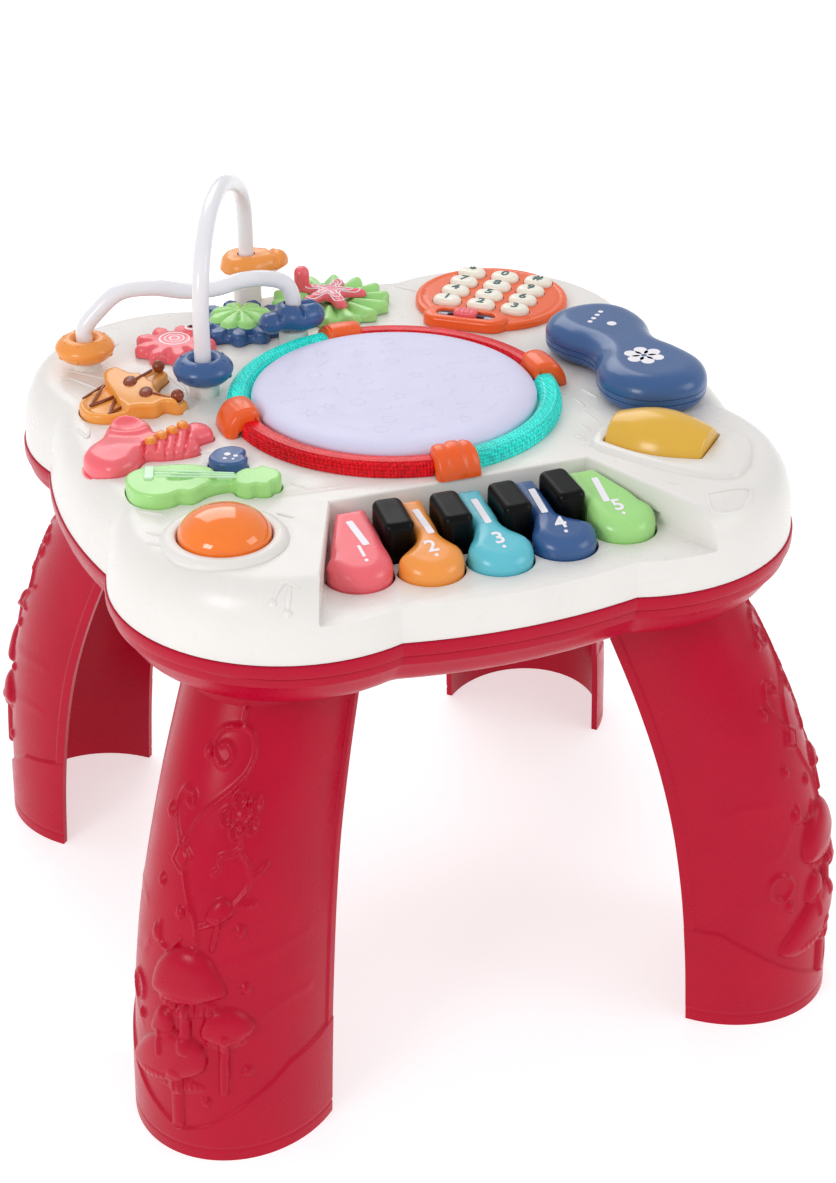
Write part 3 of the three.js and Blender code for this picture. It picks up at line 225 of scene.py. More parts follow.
def spline(points, per_span, closed=False):
    """Centripetal curve through points of two or three coordinates."""
    pts = [np.array(p, float) for p in points]
    count = len(pts)
    spans = count if closed else count - 1
    out = []
    for i in range(spans):
        p1, p2 = pts[i], pts[(i + 1) % count]
        p0 = pts[i - 1] if closed or i > 0 else 2 * p1 - p2
        p3 = pts[(i + 2) % count] if closed or i + 2 < count else 2 * p2 - p1
        t0, t1 = 0.0, math.sqrt(max(1e-6, np.linalg.norm(p1 - p0)))
        t2 = t1 + math.sqrt(max(1e-6, np.linalg.norm(p2 - p1)))
        t3 = t2 + math.sqrt(max(1e-6, np.linalg.norm(p3 - p2)))
        for k in range(per_span):
            t = t1 + (t2 - t1) * k / per_span
            a1 = (t1 - t) / (t1 - t0) * p0 + (t - t0) / (t1 - t0) * p1
            a2 = (t2 - t) / (t2 - t1) * p1 + (t - t1) / (t2 - t1) * p2
            a3 = (t3 - t) / (t3 - t2) * p2 + (t - t2) / (t3 - t2) * p3
            b1 = (t2 - t) / (t2 - t0) * a1 + (t - t0) / (t2 - t0) * a2
            b2 = (t3 - t) / (t3 - t1) * a2 + (t - t1) / (t3 - t1) * a3
            out.append(tuple((t2 - t) / (t2 - t1) * b1 + (t - t1) / (t2 - t1) * b2))
    if not closed:
        out.append(tuple(pts[-1]))
    return out


def resample(points, step):
    """The same closed outline with corners an even step apart."""
    pts = np.array(list(points) + [points[0]], float)
    along = np.concatenate([[0], np.cumsum(np.linalg.norm(np.diff(pts, axis=0), axis=1))])
    count = max(12, int(round(along[-1] / step)))
    at = np.linspace(0, along[-1], count, endpoint=False)
    return [(np.interp(a, along, pts[:, 0]), np.interp(a, along, pts[:, 1])) for a in at]


def depth_in(points, outline):
    """Distance of each point from the outline, positive inside."""
    p = np.array(points, float).reshape(-1, 2)
    a = np.array(outline, float)
    b = np.roll(a, -1, axis=0)
    ab = b - a
    ap = p[:, None] - a[None]
    t = np.clip((ap * ab).sum(2) / np.maximum((ab * ab).sum(1), 1e-12), 0, 1)
    far = np.linalg.norm(ap - t[..., None] * ab, axis=2).min(1)
    crosses = (a[None, :, 1] > p[:, None, 1]) != (b[None, :, 1] > p[:, None, 1])
    with np.errstate(divide="ignore", invalid="ignore"):
        x = a[:, 0] + (p[:, None, 1] - a[:, 1]) * ab[:, 0] / ab[:, 1]
    inside = (crosses & (p[:, None, 0] < x)).sum(1) % 2 == 1
    return np.where(inside, far, -far)


def near_line(x, y, a, b):
    """Distance of points from the segment a to b."""
    ax, ay, bx, by = *a, *b
    t = np.clip(((x - ax) * (bx - ax) + (y - ay) * (by - ay)) / ((bx - ax) ** 2 + (by - ay) ** 2), 0, 1)
    return np.hypot(x - ax - t * (bx - ax), y - ay - t * (by - ay))


def offset(points, distance):
    """The outline moved outwards by the distance at every corner."""
    a = np.array(points, float)
    before = a - np.roll(a, 1, axis=0)
    after = np.roll(a, -1, axis=0) - a
    before /= np.maximum(np.linalg.norm(before, axis=1), 1e-9)[:, None]
    after /= np.maximum(np.linalg.norm(after, axis=1), 1e-9)[:, None]
    n = np.stack([before[:, 1] + after[:, 1], -before[:, 0] - after[:, 0]], 1)
    size = np.maximum(np.linalg.norm(n, axis=1), 1e-9)
    grow = np.minimum(1.35, 2 / size)
    return [tuple(v) for v in a + n / size[:, None] * (distance * grow)[:, None]]


# Solids as (corners, faces)
def joined(*shapes):
    corners, faces = [], []
    for points, polygons in shapes:
        base = len(corners)
        corners += list(points)
        faces += [[base + i for i in polygon] for polygon in polygons]
    return corners, faces


def moved(shape, matrix):
    return [tuple(matrix @ Vector(p)) for p in shape[0]], shape[1]


def loft(rings, capped=True):
    """Skin through rings of equal count, each a list of (x, y, z), from the bottom up."""
    count = len(rings[0])
    corners = [p for ring in rings for p in ring]
    faces = []
    for k in range(len(rings) - 1):
        for i in range(count):
            j = (i + 1) % count
            faces.append([k * count + i, k * count + j, (k + 1) * count + j, (k + 1) * count + i])
    if capped:
        faces.append(list(range(count))[::-1])
        faces.append([(len(rings) - 1) * count + i for i in range(count)])
    return corners, faces


def raise_ring(points, z):
    return [(x, y, z) for x, y in points]


def pad(points, levels):
    return loft([raise_ring(offset(points, d) if d else points, z) for d, z in levels])


def prism(points, low, high):
    return pad(points, [(0, low), (0, high)])


def revolve(profile, steps, cx=0, cy=0):
    """Profile corners are (radius, z), bottom to top on the outside; ends on the axis close to a point."""
    rings = []
    corners = []
    faces = []
    for r, z in profile:
        if r < 1e-6:
            rings.append([len(corners)])
            corners.append((cx, cy, z))
        else:
            rings.append(list(range(len(corners), len(corners) + steps)))
            corners += [(cx + r * unit(360 * i / steps)[0], cy + r * unit(360 * i / steps)[1], z) for i in range(steps)]
    closed = profile[0][0] > 1e-6 and profile[-1][0] > 1e-6
    pairs = list(zip(rings, rings[1:] + ([rings[0]] if closed else [])))
    if not closed:
        pairs = list(zip(rings, rings[1:]))
    for low, high in pairs:
        for i in range(steps):
            j = (i + 1) % steps
            if len(low) == 1 and len(high) == 1:
                continue
            if len(low) == 1:
                faces.append([low[0], high[j], high[i]])
            elif len(high) == 1:
                faces.append([low[i], low[j], high[0]])
            else:
                faces.append([low[i], low[j], high[j], high[i]])
    return corners, faces


def edge_rings(radius, count):
    """Offsets from the wall that a quarter-round edge of that radius needs."""
    return [radius * (1 - math.cos(90 * (i + 1) / count * RAD)) for i in range(count)]


def rounded(d, radius, drop=None):
    """How far a quarter-round edge lies below the top, at a distance d in from the wall."""
    drop = radius if drop is None else drop
    share = np.clip(np.asarray(d, float) / radius, 0, 1)
    return drop * (1 - np.sqrt(np.clip(1 - (1 - share) ** 2, 0, 1)))


def slab(outline, low, height, step=1.2, rings=(), holes=(), levels=()):
    """Solid with a straight wall from low and a top whose height is height(x, y, d), with d the distance to the wall."""
    edge = resample(outline, step * 0.8)
    loops = [edge] + [resample(hole, step * 0.8) for hole in holes]
    points = []
    edges = []
    for loop in loops:
        base = len(points)
        points += loop
        edges += [(base + i, base + (i + 1) % len(loop)) for i in range(len(loop))]
    border = list(points)

    def clearance(where):
        near = depth_in(where, edge)
        for loop in loops[1:]:
            near = np.minimum(near, -depth_in(where, loop))
        return near
    last = 0
    for ring in rings:
        for k, loop in enumerate(loops):
            candidates = offset(loop, -ring if k == 0 else ring)
            keep = clearance(candidates) > ring * 0.96
            points += [p for p, ok in zip(candidates, keep) if ok]
        last = ring
    lo = np.min(edge, axis=0)
    hi = np.max(edge, axis=0)
    rows = np.arange(lo[1], hi[1], step * 0.87)
    grid = [(x + (step / 2 if k % 2 else 0), y) for k, y in enumerate(rows) for x in np.arange(lo[0], hi[0], step)]
    if grid:
        keep = clearance(grid) > last + step * 0.6
        points += [p for p, ok in zip(grid, keep) if ok]
    flat, _, tris, _, _, _ = delaunay_2d_cdt([Vector(p) for p in points], edges, [], 1, 1e-5)
    flat = [(v.x, v.y) for v in flat]
    middles = [tuple(np.mean([flat[i] for i in t], axis=0)) for t in tris]
    inside = clearance(middles) > 0
    tris = [list(t) for t, ok in zip(tris, inside) if ok]
    tops = height(np.array([p[0] for p in flat]), np.array([p[1] for p in flat]), np.maximum(clearance(flat), 0))
    tops = np.broadcast_to(tops, (len(flat),))
    corners = [(x, y, float(z)) for (x, y), z in zip(flat, tops)]
    for t in tris:
        a, b, c = (corners[i] for i in t)
        if (b[0] - a[0]) * (c[1] - a[1]) - (b[1] - a[1]) * (c[0] - a[0]) < 0:
            t.reverse()
    counts = {}
    for t in tris:
        for i in range(3):
            counts[(t[i], t[(i + 1) % 3])] = True
    outer = [(i, j) for i, j in counts if (j, i) not in counts]
    foot = {}
    for i, j in outer:
        for k in (i, j):
            if k not in foot:
                foot[k] = len(corners)
                corners.append((flat[k][0], flat[k][1], low))
    faces = tris + [[j, i, foot[i], foot[j]] for i, j in outer]
    names = list(foot)
    under, _, base_tris, origin, _, _ = delaunay_2d_cdt(
        [Vector(flat[k]) for k in names], [(names.index(i), names.index(j)) for i, j in outer], [], 1, 1e-6)
    centre = [tuple(np.mean([(under[i].x, under[i].y) for i in t], axis=0)) for t in base_tris]
    keep = clearance(centre) > 0
    for t, ok in zip(base_tris, keep):
        if ok:
            ids = [foot[names[origin[i][0]]] for i in t]
            a, b, c = (corners[i] for i in ids)
            if (b[0] - a[0]) * (c[1] - a[1]) - (b[1] - a[1]) * (c[0] - a[0]) > 0:
                ids.reverse()
            faces.append(ids)
    return corners, faces


def sweep(path, radius, sides=10, flat=1.0, up=None, taper=False):
    """Round or flattened bar along a path of (x, y, z); radius may be a function of the share along it."""
    pts = np.array(path, float)
    along = np.concatenate([[0], np.cumsum(np.linalg.norm(np.diff(pts, axis=0), axis=1))])
    ahead = np.gradient(pts, axis=0)
    ahead /= np.linalg.norm(ahead, axis=1)[:, None]
    rings = []
    side = None
    for i, (p, t) in enumerate(zip(pts, ahead)):
        if up is not None:
            top = np.array(up[i] if np.ndim(up) == 2 else up, float)
            side = np.cross(t, top)
        elif side is None:
            side = np.cross(t, (0, 0, 1) if abs(t[2]) < 0.9 else (1, 0, 0))
        else:
            side = side - t * side.dot(t)
        side = side / np.linalg.norm(side)
        top = np.cross(side, t)
        share = along[i] / along[-1]
        r = radius(share) if callable(radius) else radius
        rings.append([tuple(p + r * (side * unit(-360 * k / sides)[0] + flat * top * unit(-360 * k / sides)[1]))
                      for k in range(sides)])
    return loft(rings)


# Objects
def make(name, shape, look, body=TABLE, replaces=(), angle=35, weighted=False):
    mesh = bpy.data.meshes.new(name)
    mesh.from_pydata([(x * MM, y * MM, z * MM) for x, y, z in shape[0]], [], shape[1])
    mesh.update()
    piece = bpy.data.objects.new(name, mesh)
    bpy.context.scene.collection.objects.link(piece)
    finish_mesh(piece, look, angle)
    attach(piece, body)
    if replaces:
        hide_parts(*replaces)
    return piece


def finish_mesh(piece, look, angle):
    mesh = piece.data
    mesh.materials.clear()
    mesh.materials.append(LOOKS[look])
    mesh.shade_smooth()
    mesh.set_sharp_from_angle(angle=angle * RAD)


def loose(shape):
    mesh = bpy.data.meshes.new("cutter")
    mesh.from_pydata([(x * MM, y * MM, z * MM) for x, y, z in shape[0]], [], shape[1])
    mesh.update()
    piece = bpy.data.objects.new("cutter", mesh)
    bpy.context.scene.collection.objects.link(piece)
    return piece


def carve(piece, cutters, operation="DIFFERENCE"):
    """Cuts or joins solids into the piece one after another."""
    for shape in cutters:
        tool = loose(shape)
        step = piece.modifiers.new("carve", "BOOLEAN")
        step.operation = operation
        step.solver = "MANIFOLD"
        step.object = tool
        view = bpy.context.evaluated_depsgraph_get()
        result = bpy.data.meshes.new_from_object(piece.evaluated_get(view))
        piece.modifiers.clear()
        piece.data = result
        bpy.data.objects.remove(tool)


# Rim plan: four round lobes joined by shallow side bows
LOBE_CENTRE = 81.5
LOBE_RADIUS = 84
SIDE_RADIUS = 260
SIDE_CENTRE = 92.9
CREASE = 3


def rim(distance, lobe_steps=36, side_steps=18, crease_steps=8):
    d = distance - CREASE
    between = math.hypot(LOBE_CENTRE, LOBE_CENTRE + SIDE_CENTRE)
    along = (between ** 2 + LOBE_RADIUS ** 2 - SIDE_RADIUS ** 2) / (2 * between)
    across = math.sqrt(LOBE_RADIUS ** 2 - along ** 2)
    ax, ay = LOBE_CENTRE, -LOBE_CENTRE
    ux, uy = -LOBE_CENTRE / between, (LOBE_CENTRE + SIDE_CENTRE) / between
    px = ax + ux * along - uy * across
    py = ay + uy * along + ux * across
    lobe_angle = math.atan2(py - ay, px - ax) / RAD
    side_angle = math.atan2(py - SIDE_CENTRE, px) / RAD
    half = side_angle + 90
    points = []
    for k in range(4):
        bow = arc(0, SIDE_CENTRE, SIDE_RADIUS + d, -90 - half, -90 + half, side_steps)
        crease = arc(px, py, -d, side_angle + 180, lobe_angle + 180, crease_steps)[1:-1]
        lobe = arc(ax, ay, LOBE_RADIUS + d, lobe_angle, -90 - lobe_angle, lobe_steps)
        mirror = [(-y, -x) for x, y in crease][::-1]
        points += place(bow + crease + lobe + mirror, 0, 0, k * 90)
    return points


# Heights shared with the frame
TOP = 281
LIP = 263.5
SHOULDER = [(0, 246.6), (-0.35, 253), (-0.8, 259), (-1.7, 264.4), (-3, 269), (-4.8, 272.9), (-7, 276), (-9.4, 278.3),
            (-12, 279.8), (-14.5, 280.65), (-17, TOP)]
RECESS = dict(back_half=62.4, back=-86.1, front_half=93, front=-159.6, out=-185)


def recess_plan(grow):
    slope = (RECESS["front_half"] - RECESS["back_half"]) / (RECESS["back"] - RECESS["front"])
    wide = RECESS["back_half"] + (RECESS["back"] - RECESS["out"]) * slope
    return [(-wide - grow, RECESS["out"]), (wide + grow, RECESS["out"]),
            (RECESS["back_half"] + grow, RECESS["back"] + grow), (-RECESS["back_half"] - grow, RECESS["back"] + grow)]


def ease(t):
    return t * t * (3 - 2 * t)


# Piano keys: (name, look, head centre, left sides, right sides)
KEY_RADIUS, KEY_BACK, KEY_NECK, KEY_LOW = 14.8, -93, -117, 253
KEYS = [
    ("key_pink", "coral", (-62.8, -125), (-62.4, -73.2), (-48.4, -48.8)),
    ("key_orange", "orange", (-31.5, -130), (-32.4, -33.2), (-21.9, -22.6)),
    ("key_cyan", "sky", (0, -132.6), (-6, -6.3), (6, 6.3)),
    ("key_blue", "denim", (31.5, -130), (21.9, 22.6), (32.4, 33.2)),
    ("key_green", "leaf", (62.8, -125), (48.4, 48.8), (62.4, 73.2)),
]


def key_outline(head, left, right, steps=24, flares=7):
    cx, cy = head
    shares = [(i + 1) / (flares + 1) for i in range(flares)]

    def flare(neck, side):
        return [(neck + (side - neck) * ease(t), KEY_NECK + (cy - KEY_NECK) * t) for t in shares]
    return ([(left[0], KEY_BACK), (left[1], KEY_NECK)] + flare(left[1], cx - KEY_RADIUS)
            + arc(cx, cy, KEY_RADIUS, 180, 360, steps) + flare(right[1], cx + KEY_RADIUS)[::-1]
            + [(right[1], KEY_NECK), (right[0], KEY_BACK)])


def key_height(x, y):
    return 279.4 + (y - KEY_BACK) * 0.164


SHARPS = [(-40.5, -107.4, -3), (-14.1, -109.6, -1), (14.1, -109.6, 1), (40.5, -107.4, 3)]


def sharp_plan(x, y, turn, grow=0):
    return place(rounded_box(13.8 + 2 * grow, 24 + 2 * grow, 3.6, 6), x, y, turn)


GUITAR = spline([
    (-145, -50.5), (-143, -59.5), (-136.5, -65.5), (-129, -66), (-125.2, -64.4), (-120, -66.6), (-111, -62),
    (-100, -61.5), (-98.6, -66.5), (-95, -70.4), (-91.4, -69.6), (-89.6, -71.2), (-86, -72), (-83.4, -69.6),
    (-80.6, -69), (-77.6, -64), (-78.2, -59.4), (-80.4, -56.6), (-83.4, -53), (-87, -54.4), (-91, -53), (-98, -55.5),
    (-109, -43), (-118, -38.5), (-127, -36.5), (-136, -36.5), (-143, -41)], 6, True)
TRUMPET = spline([
    (-155.5, -11), (-153, -22), (-146, -29), (-136, -26.5), (-128, -18.5), (-118, -21), (-103, -20),
    (-101, -11.5), (-93, -8), (-92.5, 0), (-99, 5), (-108, 1), (-117, 0), (-119, 11), (-125, 20.5),
    (-133, 21), (-138, 12.5), (-144.5, 3), (-152, -4)], 6, True)
DRUM_TOY = spline([
    (-144, 43.5), (-142, 32), (-133, 26.5), (-119, 28), (-112, 25.5), (-106, 29), (-100, 25), (-94.5, 29.5),
    (-98, 36), (-105, 37.5), (-106, 46), (-101, 56), (-94.5, 64.5), (-98, 71.5), (-105, 68), (-111, 65),
    (-118, 75.5), (-124, 72.5), (-128, 60), (-139, 53)], 6, True)
SHELL = spline([(-102.5, -33), (-99.5, -41), (-92, -43.5), (-86.5, -41), (-86, -35.5), (-84, -30), (-88, -25),
                (-96, -25)], 6, True)
HANDSET = spline([
    (113, 45.5), (98, 39.5), (91.5, 26), (94, 12), (100.5, -1), (101, -12), (95, -25), (93, -40), (97.5, -52),
    (106, -60), (118, -63), (131, -61), (141.5, -51), (145.5, -38), (142, -20), (137.5, -8), (138, 2), (141.5, 16),
    (139, 33), (128.5, 43.5)], 6, True)

ROLLER_AT, ROLLER_TURN = (101.3, -83.9, 277.5), -45
ROLLER_HALF, ROLLER_END, ROLLER_MID = 23.5, 13.9, 18.9
ROLLER_FRAME = spline([
    (-28, -17), (-10, -23.5), (7, -26.7), (30, -27), (42, -22), (45, -12), (42, 4), (36, 17), (21, 22.5), (4, 23),
    (-8, 20.5), (-18, 17), (-28, 12)], 6, True)
DOME_AT = (-116, -103)
POSTS = [(-128, 95, 285), (-22.5, 86, 289.2), (-82, 44, 287), (-27, 150, 290.4)]
GEARS = {"pink_gear": (-81.6, 97.8, 18.9, 9), "blue_gear": (-42, 113.6, 23.1, 11), "green_gear": (10.6, 124.2, 29.4, 14)}


def flared(points, low, top, flare=0.7):
    """A cutter whose mouth opens in a rounded edge."""
    return loft([raise_ring(points, low), raise_ring(points, top - flare)]
                + [raise_ring(offset(points, flare * (1 - unit(a)[0])), top - flare * (1 - unit(a)[1])) for a in (30, 60)]
                + [raise_ring(offset(points, flare), top + 0.02), raise_ring(offset(points, flare + 1.5), top + 6)])


def rolled(points):
    return place(points, ROLLER_AT[0], ROLLER_AT[1], ROLLER_TURN)


def belly(along, grow=0.0):
    return ROLLER_END + grow + (ROLLER_MID - ROLLER_END) * unit(along / ROLLER_HALF * 90)[0]


def roller_window(grow):
    """Window that follows the barrel's belly, with small round corners."""
    stations = np.linspace(-ROLLER_HALF, ROLLER_HALF, 25)
    end = ROLLER_HALF + grow
    side = [(float(s), belly(s, grow)) for s in stations]
    corner = [(end - 0.3, ROLLER_END + grow * 0.5), (end, ROLLER_END - 1.2)]
    half = side + corner
    far = [(-x, y) for x, y in half[::-1]]
    upper = [(x, y) for x, y in far[:2]] + side + corner
    return upper[::-1] + [(x, -y) for x, y in upper]


def make_panel():
    skin = loft([raise_ring(rim(d), z) for d, z in SHOULDER])
    panel = make("panel", skin, "panel_white", replaces=["top_panel"], angle=28)
    plan = recess_plan(0)
    wall = [raise_ring(offset(plan, d), z) for d, z in (
        (-1.3, LIP), (-0.5, LIP + 0.4), (-0.1, LIP + 1.2), (0, LIP + 2.4), (0, TOP - 1.2), (0.3, TOP - 0.5),
        (0.8, TOP - 0.1), (1.5, TOP + 0.02), (3, TOP + 6))]
    carve(panel, [loft(wall)])
    room = loft([raise_ring(rim(d, 16, 8, 3), z) for d, z in ((-2.6, 240), (-3.4, 258.6), (-8, 271), (-18, 278.6))])
    hollow = loose(room)
    carve(hollow, [prism(recess_plan(2.5), 261, 290)])
    mesh = hollow.data
    room = ([tuple(v.co / MM) for v in mesh.vertices], [list(p.vertices) for p in mesh.polygons])
    bpy.data.objects.remove(hollow)
    carve(panel, [room])
    holes = [flared(offset(key_outline(*key[2:]), 0.9), 250, LIP, 0.4) for key in KEYS]
    holes += [flared(sharp_plan(*sharp, 0.9), 250, LIP, 0.4) for sharp in SHARPS]
    holes += [flared(offset(plan, 0.5), 270, TOP, 0.6) for plan in (GUITAR, TRUMPET, DRUM_TOY, SHELL)]
    holes.append(prism(circle(0, 0, 64, 64), 270, 300))
    carve(panel, holes)
    raised = [revolve([(21.1, 278.6), (28, 278.6), (27.9, TOP + 0.6), (27.4, 282.3), (26.4, 283.4), (24.8, 284),
                       (22.6, 284), (21.6, 283.7), (21.1, 283)], 96, *DOME_AT)]
    raised.append(pad(rolled(ROLLER_FRAME), [(0.6, 278.6), (0.5, 281.1), (0, 281.9), (-0.5, 282.7), (-1.2, 283.3),
                                             (-2, 283.6)]))
    for x, y, high in POSTS:
        raised.append(pad(circle(x, y, 7.4, 40), [(0, 278.7), (0, high - 1.2), (-0.4, high - 0.4), (-1.2, high)]))
    carve(panel, raised, "UNION")
    cutters = [prism(circle(*DOME_AT, 20.9, 64), 268, 282)]
    cutters.append(flared(rolled(roller_window(0.7)), 262, 283.6, 0.7))
    for x, y, high in POSTS:
        cutters.append(prism(circle(x, y, 4.7, 32), 262, high + 1))
    for plan in keypad_plans(1.15):
        cutters.append(prism(plan, 270, 283))
    carve(panel, cutters)
    finish_mesh(panel, "panel_white", 28)


# Soft strokes moulded into the panel: notes, grass, stones and a bare label outline
STROKES = [
    [(-110, -151), (-103, -146.5), (-98, -151)], [(-105, -155), (-101.5, -149)],
    [(97, -139), (94, -151), (109, -150), (118, -140), (97, -139)], [(85, -118), (90, -128)],
    [(83, -24), (84, -36)], [(80, -41), (83, -53)], [(73, -52), (75, -62)], [(66, -62), (69, -70)],
    [(91, -17), (94, -29)], [(-140, 97), (-123, 78)], [(-135, 99), (-121, 89)], [(-139, 85), (-129, 67)],
    [(-149, 29), (-147, 16), (-144, 25)], [(-125, 108), (-108, 120)],
    [(-121, 104), (-106, 117)], [(-73, -63), (-68, -70)], [(-93, 70), (-90, 52), (-91, 42), (-88, 36)],
    [(-94, 29), (-98, 24)], [(-98, -20), (-106, -17)], [(-144, -65), (-135, -72)], [(-146, -85), (-140, -91)],
    [(-148, -93), (-142, -100)], [(-88, -88), (-82, -95)], [(60, 128), (52, 140)]]
NOTE_HEADS = [(-110, -151), (-105, -155)]


def panel_top(points):
    """Height of the panel's skin at places on it."""
    sunk, heights = zip(*[(-d, z) for d, z in SHOULDER])
    return np.interp(depth_in(points, rim(0)), sunk, heights)


def make_panel_relief():
    marks = []
    for stroke in STROKES:
        path = spline(stroke, 6)
        line = [(x, y, float(z) - 0.05) for (x, y), z in zip(path, panel_top(path))]
        marks.append(sweep(line, lambda t: 0.35 + 0.75 * math.sin(math.pi * min(max(t, 0.02), 0.98)) ** 0.5, 10, 0.6))
    for x, y in NOTE_HEADS:
        marks.append(ball(x, y, float(panel_top([(x, y)])[0]) - 0.9, 1.9))
    make("panel_relief", joined(*marks), "panel_white", TABLE, angle=60)


PAD_AT, PAD_TURN, PAD_ACROSS, PAD_DOWN = (94.3, 103.5), -41, 18.6, 13.4


def keypad_places():
    spots = []
    for row in range(4):
        for column in range(3):
            u, v = (column - 1) * PAD_ACROSS, (row - 1.5) * PAD_DOWN
            spots.append(place([(u, v)], *PAD_AT, PAD_TURN)[0])
    return spots


def keypad_plans(grow=0.0, steps=10):
    return [place(obround(15.2 + 2 * grow, 10.8 + 2 * grow, steps), x, y, PAD_TURN) for x, y in keypad_places()]


make_panel()


# Crimson tray
TRAY = [(-19, 219.3), (-16, 219.9), (-13.2, 220.9), (-10.6, 222.3), (-8.6, 224.2), (-6.6, 227), (-4.8, 230.4),
        (-3.2, 233.4), (-2.6, 234.3), (-1.9, 234.6), (-1.1, 235), (-0.9, 235.6), (-0.8, 238.9), (-1.1, 239.5),
        (-1.3, 239.8), (0.1, 240), (0.7, 240.3), (1, 240.9), (1, 245.2), (0.8, 245.9), (0.2, 246.3)]


def make_tray():
    shell = loft([raise_ring(rim(d), z) for d, z in TRAY])
    tray = make("tray", shell, "crimson", replaces=["bottom_tray"], angle=28)
    room = loft([raise_ring(rim(d, 16, 8, 3), z) for d, z in ((-21.5, 222.1), (-13, 225.4), (-5, 236), (-2.6, 248))])
    carve(tray, [room])
    carve(tray, [prism(circle(a * 50, b * 34, 4, 24), 221, 257.6) for a in (-1, 1) for b in (-1, 1)], "UNION")
    holes = [prism(circle(146 * unit(45 + 90 * k)[0], 146 * unit(45 + 90 * k)[1], 11, 40), 217, 232) for k in range(4)]
    holes.append(prism(place(rounded_box(76.8, 52.8, 4.4, 8), 0, 20, 0), 217, 223.3))
    carve(tray, holes)
    finish_mesh(tray, "crimson", 28)


make_tray()

# Legs: height, chord distance along the diagonal, half width, depth
LEG_LEVELS = [(0, 179.8, 49.4, 55.6), (40, 177, 49.2, 57.1), (80, 172, 48.5, 58.6), (112, 165.4, 47.2, 58.9),
              (142, 156, 45.4, 59), (170, 144.6, 44, 58.5), (214, 123, 41.8, 55.6)]


def leg_at(z):
    """Chord distance, half width and depth of the leg's plan at a height, smooth between the levels."""
    levels = np.array(LEG_LEVELS)
    row = np.clip(z, 0, 214)
    out = []
    for column in (1, 2, 3):
        slopes = np.gradient(levels[:, column], levels[:, 0])
        k = int(np.clip(np.searchsorted(levels[:, 0], row) - 1, 0, len(levels) - 2))
        h = levels[k + 1, 0] - levels[k, 0]
        t = (row - levels[k, 0]) / h
        out.append((2 * t ** 3 - 3 * t ** 2 + 1) * levels[k, column] + (t ** 3 - 2 * t ** 2 + t) * h * slopes[k]
                   + (3 * t ** 2 - 2 * t ** 3) * levels[k + 1, column] + (t ** 3 - t ** 2) * h * slopes[k + 1])
    return out


# Relief on the skin, drawn as lines and outlines of (angle round the leg, height): near the foot a
# degree is about a millimetre. Heights are measured from the plain skin.
GROUND_LINE = [(-90, 54.5), (-72, 54), (-56, 44), (-40, 33), (-25, 25), (-9, 17.5), (0, 15.5), (15, 20), (29, 28.5),
               (48, 40), (59, 47.5), (71, 50), (90, 54)]
VINES = [
    [(14.5, 212), (15, 207), (21.5, 202), (24.5, 195), (22, 187.5), (15.5, 181.5), (6.5, 175), (-3.5, 166.5),
     (-7.5, 158), (-9, 151), (-6.5, 143.5), (-2, 133.5), (3.5, 124.5), (6.5, 112)],
    [(21, 202.5), (18.5, 204), (10.5, 205.5), (1.5, 203), (-1, 196.5), (2.5, 191.5), (8, 190), (11.5, 194), (7, 198.5),
     (2.5, 197.5)],
    [(-8, 151), (-13, 156.5), (-18, 164), (-19.5, 171.5), (-15.5, 177.5), (-8, 176.5), (-8, 172), (-12, 173)],
    [(23, 164), (24.5, 159.5), (25.5, 155.5), (30.5, 150), (32.5, 143), (29, 136.5), (23.5, 131.5)],
    [(25, 157), (21, 155), (14, 153), (14.5, 149), (11.5, 146.5)], [(31, 147), (34.5, 144.5), (40.5, 148.5)],
    [(6, 121.5), (15.5, 125), (26, 132.5), (36, 132)], [(-4.5, 114), (-12, 108), (-18, 109), (-20, 117)]]
STREAKS = [[(15.5, 103), (42, 108), (69, 109.5)], [(20.5, 100), (38, 106), (54, 108)], [(43.5, 77.5), (57, 81), (70.5, 81.5)],
           [(-60, 70), (-44, 66), (-34, 60)], [(-64, 118), (-50, 122), (-38, 121)], [(-30, 104), (-36, 96), (-46, 93)]]
BERRIES = [(-4.5, 194, 3), (-25, 165.5, 3.2), (-23, 136, 3), (-6, 126.5, 3), (29.5, 120.5, 3.2), (34, 93, 2.8),
           (35.5, 49.5, 3), (13.5, 33, 2.6), (-33, 65.5, 3), (-22, 112, 4)]
PETALS = [(21, 177), (29.5, 174.5), (29, 166.5), (21, 164.5), (14.5, 170)]
BUD = [(-11.5, 157), (-16, 147.5), (-8.5, 144), (-3, 151)]
CAPS = [  # outline, stem from and to, stem half width, rise
    ([(-21, 87), (-18.5, 100), (-3, 111.5), (12, 109.5), (20.5, 99.5), (24, 91.5), (10, 86.5), (-6, 84.5)],
     (1, 82), (2, 63), 3.6, 5.0),
    ([(10.5, 70), (13.5, 79.5), (21.5, 84.5), (32.5, 81.5), (39.5, 73.5), (32.5, 67), (20, 66)],
     (23.5, 70), (23, 40), 2.8, 4.6),
    ([(-40.5, 40.5), (-27.5, 56.5), (-9, 68.5), (4.5, 68), (13, 62), (13, 51.5), (-5.5, 42), (-31.5, 35.5)],
     (-4, 46), (-4, 19), 4.2, 3.8),
    ([(-22, 64.5), (-15.5, 78), (-8, 77), (-5.5, 69), (-12, 63.5)], (-14, 66), (-13, 56), 1.8, 3.2),
    ([(10, 126), (14, 134.5), (20, 136), (25.5, 129.5), (18, 124.5)], (17.5, 127), (15, 113), 1.6, 3.0)]
# Ribbed undersides of the caps: middle, half width, height and rise.
GILLS = [((2, 83.5), 19, 5.5, 2.4), ((-8, 40.5), 21, 4.5, 2.0), ((24, 66.5), 12, 3.5, 1.6)]


